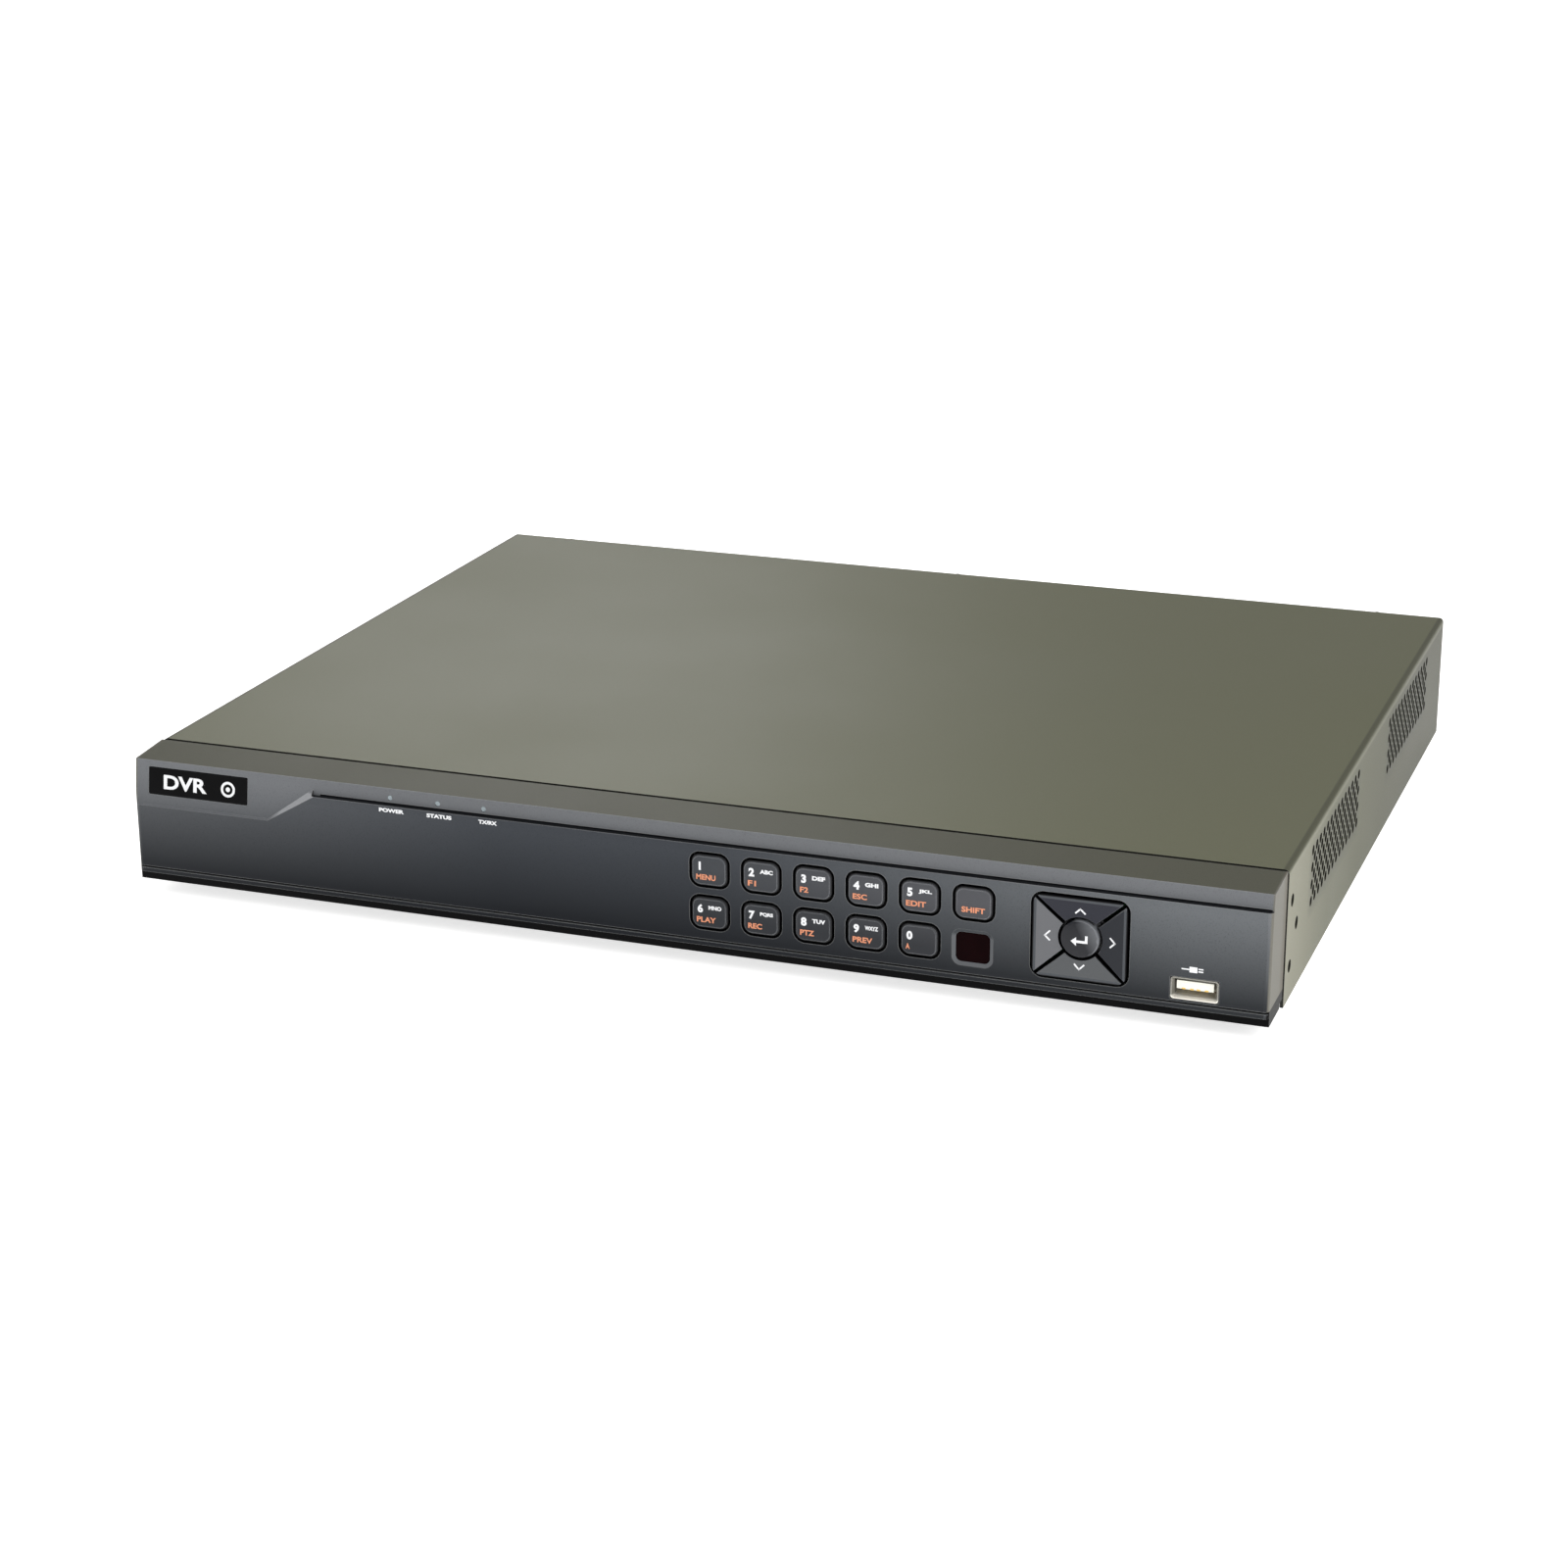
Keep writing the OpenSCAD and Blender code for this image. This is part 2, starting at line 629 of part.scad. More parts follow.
// The mouth flares out to a wider rim
module front_usb_shell() color("#c9cacb") place() difference() {
    union() {
        usb_shell(usb_x, usb_z, 0.9, key_board_y, 0.6);
        hull() {
            plate_y(usb_x, usb_z, 14.5, 6.9, 0.9, 0.1, 0.4);
            plate_y(usb_x, usb_z, 13.7, 6.3, 0.7, 1, 1.1);
        }
    }
    plate_y(usb_x, usb_z, 12.5, 5.1, 0.3, 0, 2);
    hull() {
        plate_y(usb_x, usb_z, 13.8, 6.2, 0.7, 0, 0.15);
        plate_y(usb_x, usb_z, 12.5, 5.1, 0.3, 1.2, 1.3);
    }
}

module front_usb_tongue() color("#efeee6") place() {
    block(usb_x - 5.6, usb_x + 5.6, 1.2, 7, usb_z - 0.5, usb_z + 2.1);
    block(usb_x - 6.2, usb_x + 6.2, 7, key_board_y - 1, usb_z - 2.5, usb_z + 2.5);
}

// ---- Boards ----

module main_board() color("#1e5c3a") place() difference() {
    union() {
        block(board_notch_x, board_x[1], board_y0, board_y1, board_z, board_top);
        block(board_x[0], board_notch_x, board_notch_y, board_y1, board_z, board_top);
    }
    for (p = standoff_xy)
        rod_z(p[0], p[1], board_z - 1, board_top + 1, screw_r + 0.2);
}

module board_standoffs() color("#c8a24a") place()
    for (p = standoff_xy) difference() {
        translate([p[0], p[1], sheet]) cylinder(h = board_z - sheet, r = 3, $fn = 6);
        rod_z(p[0], p[1], sheet - 1, board_z + 1, screw_r + 0.05);
    }

module board_chips() color("#18181b") place() {
    block(heat_xy[0] - 15, heat_xy[0] + 15, heat_xy[1] - 15, heat_xy[1] + 15, board_top, board_top + 2);
    for (sy = [-1, 1], i = [0, 1])
        block(52 + i * 12, 61 + i * 12, heat_xy[1] + sy * 10 - 6, heat_xy[1] + sy * 10 + 6,
              board_top, board_top + 1.1);
    for (i = [0 : 3])
        block(58 + i * 28, 72 + i * 28, 258, 272, board_top, board_top + 1.2);
    block(-50, -40, 240, 250, board_top, board_top + 1.1);
    block(-124, -112, 236, 248, board_top, board_top + 1.6);
}

module heat_sink() color("#3b3e42") place() {
    base_z = board_top + 2;
    block(heat_xy[0] - 22, heat_xy[0] + 22, heat_xy[1] - 22, heat_xy[1] + 22, base_z, base_z + 3);
    for (i = [0 : 8])
        translate([heat_xy[0] - 22 + i * 5.3, heat_xy[1] - 22, base_z + 3]) cube([1.6, 44, 11]);
}

module board_capacitors() color("#27335c") place()
    for (i = [0 : 2], row = [0, 1])
        rod_z(-126 + i * 13, 228 + row * 44, board_top, board_top + 11 - row * 2, 4);

module clock_battery() color("#c4c6c8") place() {
    rod_z(-30, 198, board_top, board_top + 1.5, 9);
    rod_z(-30, 198, board_top + 1.5, board_top + 4.7, 10);
}

// Sockets for the drive leads on the main board, for the front ribbon and for the fan
module cable_sockets() color("#ece9df") place() {
    block(-102, -86, 213, 219, board_top, board_top + 8);
    block(-132, -114, 213, 219, board_top, board_top + 8);
    block(ribbon_x - 12, ribbon_x + 12, 184, 190, board_top, board_top + 3);
    block(ribbon_x - 12, ribbon_x + 12, key_board_y + board_t, key_board_y + board_t + 3.4, 8, 12);
    block(-122, -112, 281, 287, board_top, board_top + 6);
}

// ---- Rear panel sockets ----

module bnc_housings() color("#1d1d20") place()
    for (i = [0 : 7])
        block(bnc_x0 + i * bnc_pitch - 7.2, bnc_x0 + i * bnc_pitch + 7.2,
              284, rear_y - sheet, board_top, 38.6);

module bnc_barrel(x, z) {
    difference() {
        union() {
            rod_y(x, rear_y - sheet, case_d + 2, z, 6.1);
            rod_y(x, case_d + 2, case_d + rear_out, z, 4.8);
            for (side = [-1, 1])
                rod_x(x + side * 5 - 0.7, x + side * 5 + 0.7, case_d + rear_out - 4.5, z, 1);
        }
        rod_y(x, case_d + 1, case_d + rear_out + 1, z, 4.1);
    }
}

module bnc_barrels() color("#c3c5c7") place()
    for (i = [0 : 7], z = bnc_z)
        bnc_barrel(bnc_x0 + i * bnc_pitch, z);

module bnc_contacts() color("#d9b45a") place()
    for (i = [0 : 7], z = bnc_z) difference() {
        union() {
            rod_y(bnc_x0 + i * bnc_pitch, case_d + 1, case_d + 5, z, 2.6);
            rod_y(bnc_x0 + i * bnc_pitch, case_d + 5, case_d + rear_out - 2, z, 1.2);
        }
        rod_y(bnc_x0 + i * bnc_pitch, case_d + rear_out - 6, case_d + rear_out, z, 0.6);
    }

module audio_jacks() color("#c3c5c7") place()
    for (x = rca_x) difference() {
        union() {
            block(x - 6, x + 6, 290, rear_y - sheet, board_top, rca_z[1] + 6);
            for (z = rca_z)
                rod_y(x, rear_y - sheet, case_d + 8, z, 4.1);
        }
        for (z = rca_z)
            rod_y(x, case_d - 4, case_d + 9, z, 1.65);
    }

module audio_rings() color("#c9302c") place()
    for (x = rca_x, z = rca_z) difference() {
        rod_y(x, rear_y - sheet + 0.1, case_d + 1.4, z, 5.5);
        rod_y(x, rear_y - sheet, case_d + 2, z, 4.15);
    }

module vga_port() color("#2c4f9e") place() {
    difference() {
        union() {
            block(vga_x - 15.4, vga_x + 15.4, 291, rear_y - sheet, vga_z - 6.2, vga_z + 6.2);
            for (side = [-1, 1])
                block(vga_x + side * 12 - 2.5, vga_x + side * 12 + 2.5,
                      291, rear_y - sheet, board_top, vga_z);
            plate_y(vga_x, vga_z, 17.6, 9, 2.4, rear_y - sheet, case_d + 4.5);
        }
        plate_y(vga_x, vga_z, 16.4, 7.8, 1.9, case_d - 1, case_d + 5);
        for (row = [-1 : 1], col = [-2 : 2])
            rod_y(vga_x + col * 2.4, 296, case_d, vga_z + row * 2, 0.5);
    }
    for (side = [-1, 1])
        rod_y(vga_x + side * 12.5, rear_y - sheet, case_d + 3.6, vga_z, 1.6);
}

module hdmi_port() color("#b9bbbd") place() {
    difference() {
        plate_y(hdmi_x, hdmi_z, 15, 5.6, 0.6, 291, case_d + 0.4);
        plate_y(hdmi_x, hdmi_z, 14, 4.6, 0.4, 293, case_d + 1);
    }
    block(hdmi_x - 5.5, hdmi_x + 5.5, 293, case_d - 1, hdmi_z - 0.6, hdmi_z + 0.6);
}

module network_port() color("#aeb0b2") place() difference() {
    plate_y(lan_x, lan_z, 16, 13.6, 0.3, 281, case_d + 0.6);
    block(lan_x - 5.9, lan_x + 5.9, case_d - 12, case_d + 2, lan_z - 2.6, lan_z + 4.6);
    block(lan_x - 3.2, lan_x + 3.2, case_d - 12, case_d + 2, lan_z - 4.6, lan_z - 2.6 + eps);
}

module rear_usb_port() color("#c3c5c7") place() {
    usb_back = 288;
    difference() {
        plate_y(rear_usb_x, rear_usb_z, 13.7, 6.3, 0.5, usb_back, case_d + 0.6);
        plate_y(rear_usb_x, rear_usb_z, 12.5, 5.1, 0.3, usb_back + 1, case_d + 2);
    }
    block(rear_usb_x - 5.6, rear_usb_x + 5.6, usb_back + 1, case_d - 0.6, rear_usb_z + 0.3, rear_usb_z + 2.2);
}

module serial_terminal() color("#3f8f4d") place() difference() {
    block(term_x - 8, term_x + 8, 290, case_d + 2, term_z - 4.5, term_z + 4.5);
    for (i = [-1.5 : 1.5])
        block(term_x + i * 3.8 - 1.3, term_x + i * 3.8 + 1.3,
              case_d - 5, case_d + 3, term_z - 3, term_z + 0.4);
    for (i = [-1.5 : 1.5])
        rod_z(term_x + i * 3.8, case_d - 1.2, term_z + 2.2, term_z + 5, 1.2);
}

module dc_inlet() color("#1b1b1e") place() {
    difference() {
        union() {
            block(dc_x - 4.6, dc_x + 4.6, 289, rear_y - sheet, board_top, dc_z + 5);
            rod_y(dc_x, rear_y - sheet, case_d + 1, dc_z, 5);
        }
        rod_y(dc_x, case_d - 9, case_d + 2, dc_z, 3.2);
    }
    rod_y(dc_x, case_d - 9.5, case_d - 0.5, dc_z, 1.05);
}

module ground_screw() color("#c6a44e") place() {
    rod_y(ground_x, rear_y, rear_y + 1, ground_z, 4.4);
    rod_y(ground_x, rear_y + 1, rear_y + 3.4, ground_z, 3.2);
    rod_y(ground_x, rear_y - 6, rear_y, ground_z, 1.7);
}

pivot_pin_r = 1.5;
rocker_y = rear_y + 0.6;

module switch_frame() color("#17171a") place() difference() {
    union() {
        plate_y(switch_x, switch_z, 12.8, 19.2, 0.6, 287, rear_y);
        plate_y(switch_x, switch_z, 15.4, 21.6, 1, rear_y, rear_y + 2);
    }
    plate_y(switch_x, switch_z, 10.6, 18.6, 0.4, rear_y - 9, rear_y + 3);
    rod_x(switch_x - 6.1, switch_x + 6.1, rocker_y, switch_z, pivot_pin_r + 0.05);
}

// The rocker is drawn tilted to its off position, and turns up by rocker_throw
module power_rocker() color("#222226") place()
    translate([switch_x, rocker_y, switch_z]) rotate([-rocker_throw / 2, 0, 0]) {
        slab_x(-5, 5) polygon([[-4, -6], [3.3, -8.3], [1.8, 0], [3.3, 8.3], [-4, 6]]);
        rod_x(-6, 6, 0, 0, pivot_pin_r);
    }

// ---- Fan ----

module fan_frame() color("#1a1a1c") place() {
    difference() {
        block(fan_x0, fan_x0 + fan_t, fan_y - fan_size / 2, fan_y + fan_size / 2,
              fan_z - fan_size / 2, fan_z + fan_size / 2);
        rod_x(fan_x0 - 1, fan_x0 + fan_t + 1, fan_y, fan_z, fan_bore_r);
        for (sy = [-1, 1], sz = [-1, 1])
            rod_x(fan_x0 - 1, fan_x0 + fan_t + 1, fan_y + sy * 16, fan_z + sz * 16, 1.7);
    }
    difference() {
        union() {
            rod_x(fan_x0, fan_x0 + 2, fan_y, fan_z, 10);
            intersection() {
                for (a = [45 : 90 : 315])
                    translate([fan_x0, fan_y, fan_z]) rotate([a, 0, 0])
                        translate([0, -1.2, 0]) cube([2, 2.4, 20]);
                rod_x(fan_x0, fan_x0 + 2, fan_y, fan_z, fan_bore_r + 0.5);
            }
        }
        rod_x(fan_x0 - 1, fan_x0 + 3, fan_y, fan_z, 1.05);
    }
}

module fan_rotor() color("#242427") place() {
    x0 = fan_x0 + 2.4;
    rod_x(x0, x0 + 6.6, fan_y, fan_z, 9.5);
    rod_x(fan_x0 + 0.2, x0, fan_y, fan_z, 1);
    intersection() {
        for (a = [0 : 6])
            translate([x0 + 3.3, fan_y, fan_z]) rotate([a * 360 / 7, 0, 0]) rotate([0, 0, 38])
                translate([-0.6, -5, 8]) cube([1.2, 10, 12]);
        rod_x(x0, x0 + 6.6, fan_y, fan_z, 18.3);
    }
}

// ---- Hard drive ----

module drive_base() color("#a9abae") place() difference() {
    block(drive_x - drive_w / 2, drive_x + drive_w / 2, drive_y0, drive_y0 + drive_l,
          drive_z0 + 2, drive_z0 + drive_h - 1.4);
    difference() {
        union() {
            rod_z(drive_x, spindle_y, 9, drive_z0 + drive_h, 48.5);
            block(drive_x - 26, drive_x + 48.5, spindle_y + 10, drive_y0 + drive_l - 6,
                  9, drive_z0 + drive_h);
        }
        rod_z(drive_x, spindle_y, 8, 24, 3.95);
        rod_z(pivot_xy[0], pivot_xy[1], 8, 24, 2.95);
    }
    at_drive_holes(drive_x) cylinder(h = 8.4, r = screw_r + 0.05);
}

module drive_lid() color("#c9cacc") place() difference() {
    plate_z = drive_z0 + drive_h - 1.4;
    block(drive_x - drive_w / 2, drive_x + drive_w / 2, drive_y0, drive_y0 + drive_l, plate_z, plate_z + 1.4);
    translate([0, 0, plate_z + 0.8]) difference() {
        rod_z(drive_x, spindle_y, 0, 2, 40);
        rod_z(drive_x, spindle_y, -1, 3, 16);
    }
}

module drive_board() color("#1c4f6e") place()
    block(drive_x - 42, drive_x + 42, drive_y0 + 36, drive_y0 + drive_l - 1, drive_z0, drive_z0 + 1.6);

module drive_platters() color("#d5d7da") place() difference() {
    union() {
        for (z = platter_z)
            rod_z(drive_x, spindle_y, z, z + platter_t, platter_r);
        rod_z(drive_x, spindle_y, 10, 25.5, 13);
    }
    rod_z(drive_x, spindle_y, 9, 24.2, 4);
}

// The arms are drawn parked beside the platters
module drive_actuator() color("#b3b5b8") place() difference() {
    union() {
        rod_z(pivot_xy[0], pivot_xy[1], 10, 25.5, 7);
        for (z = [14.6, 19.6])
            translate([pivot_xy[0], pivot_xy[1], z]) rotate([0, 0, 167])
                translate([0, -2.4, 0]) cube([arm_l, 4.8, 1.2]);
        translate([pivot_xy[0], pivot_xy[1], 15]) rotate([0, 0, -13]) translate([4, -6, 0]) cube([4, 12, 4]);
    }
    rod_z(pivot_xy[0], pivot_xy[1], 9, 24.2, 3);
}

// Flat lead that leaves the drive, arches up and goes down into its socket
module arched_lead(x0, x1) slab_x(x0, x1) {
    t = 1.2;
    low_z = 8;
    bend = 6;
    top_z = 24;
    up_y = 187;
    down_y = 216;
    translate([drive_y0 + drive_l, low_z - 2.2]) square([7, 4.4]);
    translate([drive_y0 + drive_l + 7, low_z - t / 2]) square([up_y - bend - drive_y0 - drive_l - 7, t]);
    translate([up_y - bend, low_z + bend]) ring_quarter(bend, t, -90);
    translate([up_y - t / 2, low_z + bend]) square([t, top_z - low_z - bend]);
    arch_r = (down_y - up_y) / 2;
    translate([up_y + arch_r, top_z]) {
        ring_quarter(arch_r, t, 0);
        ring_quarter(arch_r, t, 90);
    }
    translate([down_y - t / 2, board_top + 12]) square([t, top_z - board_top - 12]);
    translate([down_y - 2.2, board_top + 8]) square([4.4, 4]);
}

module ring_quarter(r, t, turn) rotate(turn) intersection() {
    difference() {
        circle(r + t / 2);
        circle(r - t / 2);
    }
    square([r + t, r + t]);
}

// Data and power leads of the drive, and the ribbon from the front board to the main board
module drive_leads() color("#8d2f2f") place() {
    arched_lead(-98, -90);
    arched_lead(-130, -116);
    slab_x(ribbon_x - 8, ribbon_x + 8) polygon([
        [18, 9.6], [24, 9.6], [34, 2], [170, 2], [178, 9.6], [184, 9.6],
        [184, 10.2], [177.6, 10.2], [169.6, 2.6], [34.4, 2.6], [24.4, 10.2], [18, 10.2]
    ]);
}

base_tray();
top_cover();
front_bezel();
name_badge();
ir_window();
light_pipe();
status_leds();
led_board();
key_board();
tact_switches();
ir_receiver();
front_usb_shell();
front_usb_tongue();
key_1();
key_2();
key_3();
key_4();
key_5();
key_shift();
key_6();
key_7();
key_8();
key_9();
key_0();
pad_up();
pad_down();
pad_left();
pad_right();
pad_enter();
main_board();
board_standoffs();
pan_screws();
heat_sink();
board_chips();
board_capacitors();
clock_battery();
cable_sockets();
bnc_housings();
bnc_barrels();
bnc_contacts();
audio_jacks();
audio_rings();
vga_port();
hdmi_port();
network_port();
rear_usb_port();
serial_terminal();
dc_inlet();
switch_frame();
power_rocker();
ground_screw();
fan_frame();
fan_rotor();
drive_base();
drive_lid();
drive_board();
drive_platters();
drive_actuator();
drive_leads();
feet();
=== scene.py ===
"""Looks of the dvr recorder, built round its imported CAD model.

Lengths are in metres in the row frame: +X to the right seen from the front, +Y to the back, +Z up,
with the origin in the middle of the footprint on the floor.
"""
import json
import math

import bmesh
import bpy
from mathutils import Matrix, Vector


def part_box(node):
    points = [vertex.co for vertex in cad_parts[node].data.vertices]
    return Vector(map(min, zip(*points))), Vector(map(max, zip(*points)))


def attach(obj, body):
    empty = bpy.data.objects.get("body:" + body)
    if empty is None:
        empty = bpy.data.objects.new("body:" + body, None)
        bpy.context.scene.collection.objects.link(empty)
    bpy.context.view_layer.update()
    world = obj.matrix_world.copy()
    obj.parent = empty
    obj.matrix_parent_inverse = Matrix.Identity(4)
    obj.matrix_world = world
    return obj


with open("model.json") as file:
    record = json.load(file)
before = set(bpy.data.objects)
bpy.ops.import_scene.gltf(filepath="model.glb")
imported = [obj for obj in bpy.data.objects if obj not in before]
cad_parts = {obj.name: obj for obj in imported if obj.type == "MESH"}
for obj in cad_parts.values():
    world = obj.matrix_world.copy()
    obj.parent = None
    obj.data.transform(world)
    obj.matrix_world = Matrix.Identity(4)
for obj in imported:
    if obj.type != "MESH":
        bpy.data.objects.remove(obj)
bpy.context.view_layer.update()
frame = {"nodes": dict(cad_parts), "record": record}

MM = 0.001
NODES = frame["nodes"]
CASE = "case"

# Planes that printed marks lie on, and how thick the ink is
FACE_Y = -0.157
REAR_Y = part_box("base_tray")[1].y
KEY_FRONT_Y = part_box("key_1")[0].y
PAD_FRONT_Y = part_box("pad_up")[0].y
INK = 0.03 * MM

# Height of the feet, where the case starts, and the outside of the cover
FOOT_H = 0.0036
SIDE_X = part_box("top_cover")[1].x
CASE_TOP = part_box("top_cover")[1].z

# Front ends of the two vent fields, and how long each field is
VENT_STARTS = (-101 * MM, 33 * MM)
VENT_LENGTH = 80 * MM

# How far the brow leans back, and the underside of the tongue in the front USB socket
BROW_LEAN = math.atan2(2.2, 15.2)
TONGUE_UNDERSIDE = FOOT_H + 10.5 * MM

# Half the pad's size, its flat rim, and how steeply the keys slope inwards from that rim
PAD_HALF = Vector((14.55 * MM, 13.1 * MM))
PAD_RIM = 1.1 * MM
PAD_SLOPE = math.radians(8)


def centre_of(name):
    lo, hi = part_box(name)
    return (lo + hi) / 2


# ---- Camera, lights and floor ----

CAMERA_PLACE = (0.35866, -1.03672, 0.38885)
CAMERA_AZIMUTH = 20.016
CAMERA_ELEVATION = 19.105
CAMERA_ROLL = -0.259
CAMERA_LENS = 74.80


def make_camera():
    data = bpy.data.cameras.new("studio_camera")
    data.lens = CAMERA_LENS
    data.sensor_width = 36.0
    data.sensor_fit = "HORIZONTAL"
    data.clip_start = 0.05
    data.clip_end = 50.0
    camera = bpy.data.objects.new("studio_camera", data)
    bpy.context.scene.collection.objects.link(camera)
    azimuth = math.radians(CAMERA_AZIMUTH)
    elevation = math.radians(CAMERA_ELEVATION)
    roll = math.radians(CAMERA_ROLL)
    back = Vector((
        math.sin(azimuth) * math.cos(elevation),
        -math.cos(azimuth) * math.cos(elevation),
        math.sin(elevation),
    ))
    right = (-back).cross(Vector((0, 0, 1))).normalized()
    up = right.cross(-back)
    side = right * math.cos(roll) + up * math.sin(roll)
    top = up * math.cos(roll) - right * math.sin(roll)
    turn = Matrix((side, top, back)).transposed().to_4x4()
    camera.matrix_world = Matrix.Translation(CAMERA_PLACE) @ turn
    bpy.context.scene.camera = camera


# Name, place, what it points at, size and power of each soft lamp
LAMPS = (
    ("back_key", (-0.55, 0.95, 0.6), (-0.1, 0.1, 0.04), 0.5, 2.2),
    ("right_front", (0.62, -0.47, 0.36), (0.17, -0.12, 0.03), 0.28, 1.8),
    ("left_front", (-0.55, -0.3, 0.22), (-0.17, -0.15, 0.03), 0.25, 0.6),
    ("top_soft", (0.1, -0.3, 2.2), (0, 0, 0), 1.8, 10),
)


def make_lights():
    world = bpy.data.worlds.new("studio_sky")
    bpy.context.scene.world = world
    world.use_nodes = True
    sky = world.node_tree.nodes["Background"]
    sky.inputs["Color"].default_value = (1.0, 1.0, 1.0, 1)
    sky.inputs["Strength"].default_value = 0.5
    bpy.context.scene.view_settings.view_transform = "Standard"
    for name, place, target, size, power in LAMPS:
        data = bpy.data.lights.new(name, "AREA")
        data.energy = power
        data.size = size
        lamp = bpy.data.objects.new(name, data)
        lamp.location = place
        lamp.visible_camera = False
        aim = Vector(target) - Vector(place)
        lamp.rotation_euler = aim.to_track_quat("-Z", "Y").to_euler()
        bpy.context.scene.collection.objects.link(lamp)


def stage_piece(name, verts, faces, material):
    """Something of the studio that isn't part of the object."""
    mesh = bpy.data.meshes.new(name)
    mesh.from_pydata(verts, [], faces)
    mesh.materials.append(material)
    piece = bpy.data.objects.new(name, mesh)
    bpy.context.scene.collection.objects.link(piece)
    return piece


def make_floor():
    half = 25.0
    paint = Surface("floor_paper", (244, 244, 243))
    paint.mottle(0.8, 0.01)
    # The paper far from the object has its own light, as a studio backdrop has
    reach = paint.node("ShaderNodeVectorMath", Vector=paint.place)
    reach.operation = "LENGTH"
    glow = paint.remap(reach.outputs["Value"], 0.3, 2.0, 0.72, 0.8)
    paint.tree.links.new(glow, paint.shader.inputs["Emission Strength"])
    paint.finish(rough=0.85, Emission_Color=(1, 1, 1, 1))
    corners = [(-half, -half, 0), (half, -half, 0), (half, half, 0), (-half, half, 0)]
    stage_piece("studio_floor", corners, [(0, 1, 2, 3)], paint.material)


def make_wall():
    """A white wall all round, far off, which the camera alone sees."""
    count, radius, height = 48, 24.0, 14.0
    verts, faces = [], []
    for i in range(count):
        angle = i * math.tau / count
        for z in (0, height):
            verts.append((radius * math.cos(angle), radius * math.sin(angle), z))
        low, after = 2 * i, 2 * ((i + 1) % count)
        faces.append((low, after, after + 1, low + 1))
    paper = Surface("wall_paper", (244, 244, 243))
    paper.mottle(0.8, 0.01)
    paper.finish(rough=0.85, Emission_Color=(1, 1, 1, 1), Emission_Strength=1.0)
    wall = stage_piece("studio_wall", verts, faces, paper.material)
    wall.visible_diffuse = False
    wall.visible_glossy = False
    wall.visible_transmission = False
    wall.visible_shadow = False


# ---- Materials ----


def linear(rgb):
    """Linear colour of an sRGB triple from 0 to 255."""
    def channel(v):
        v = v / 255
        return v / 12.92 if v <= 0.04045 else ((v + 0.055) / 1.055) ** 2.4
    return tuple(channel(v) for v in rgb) + (1.0,)


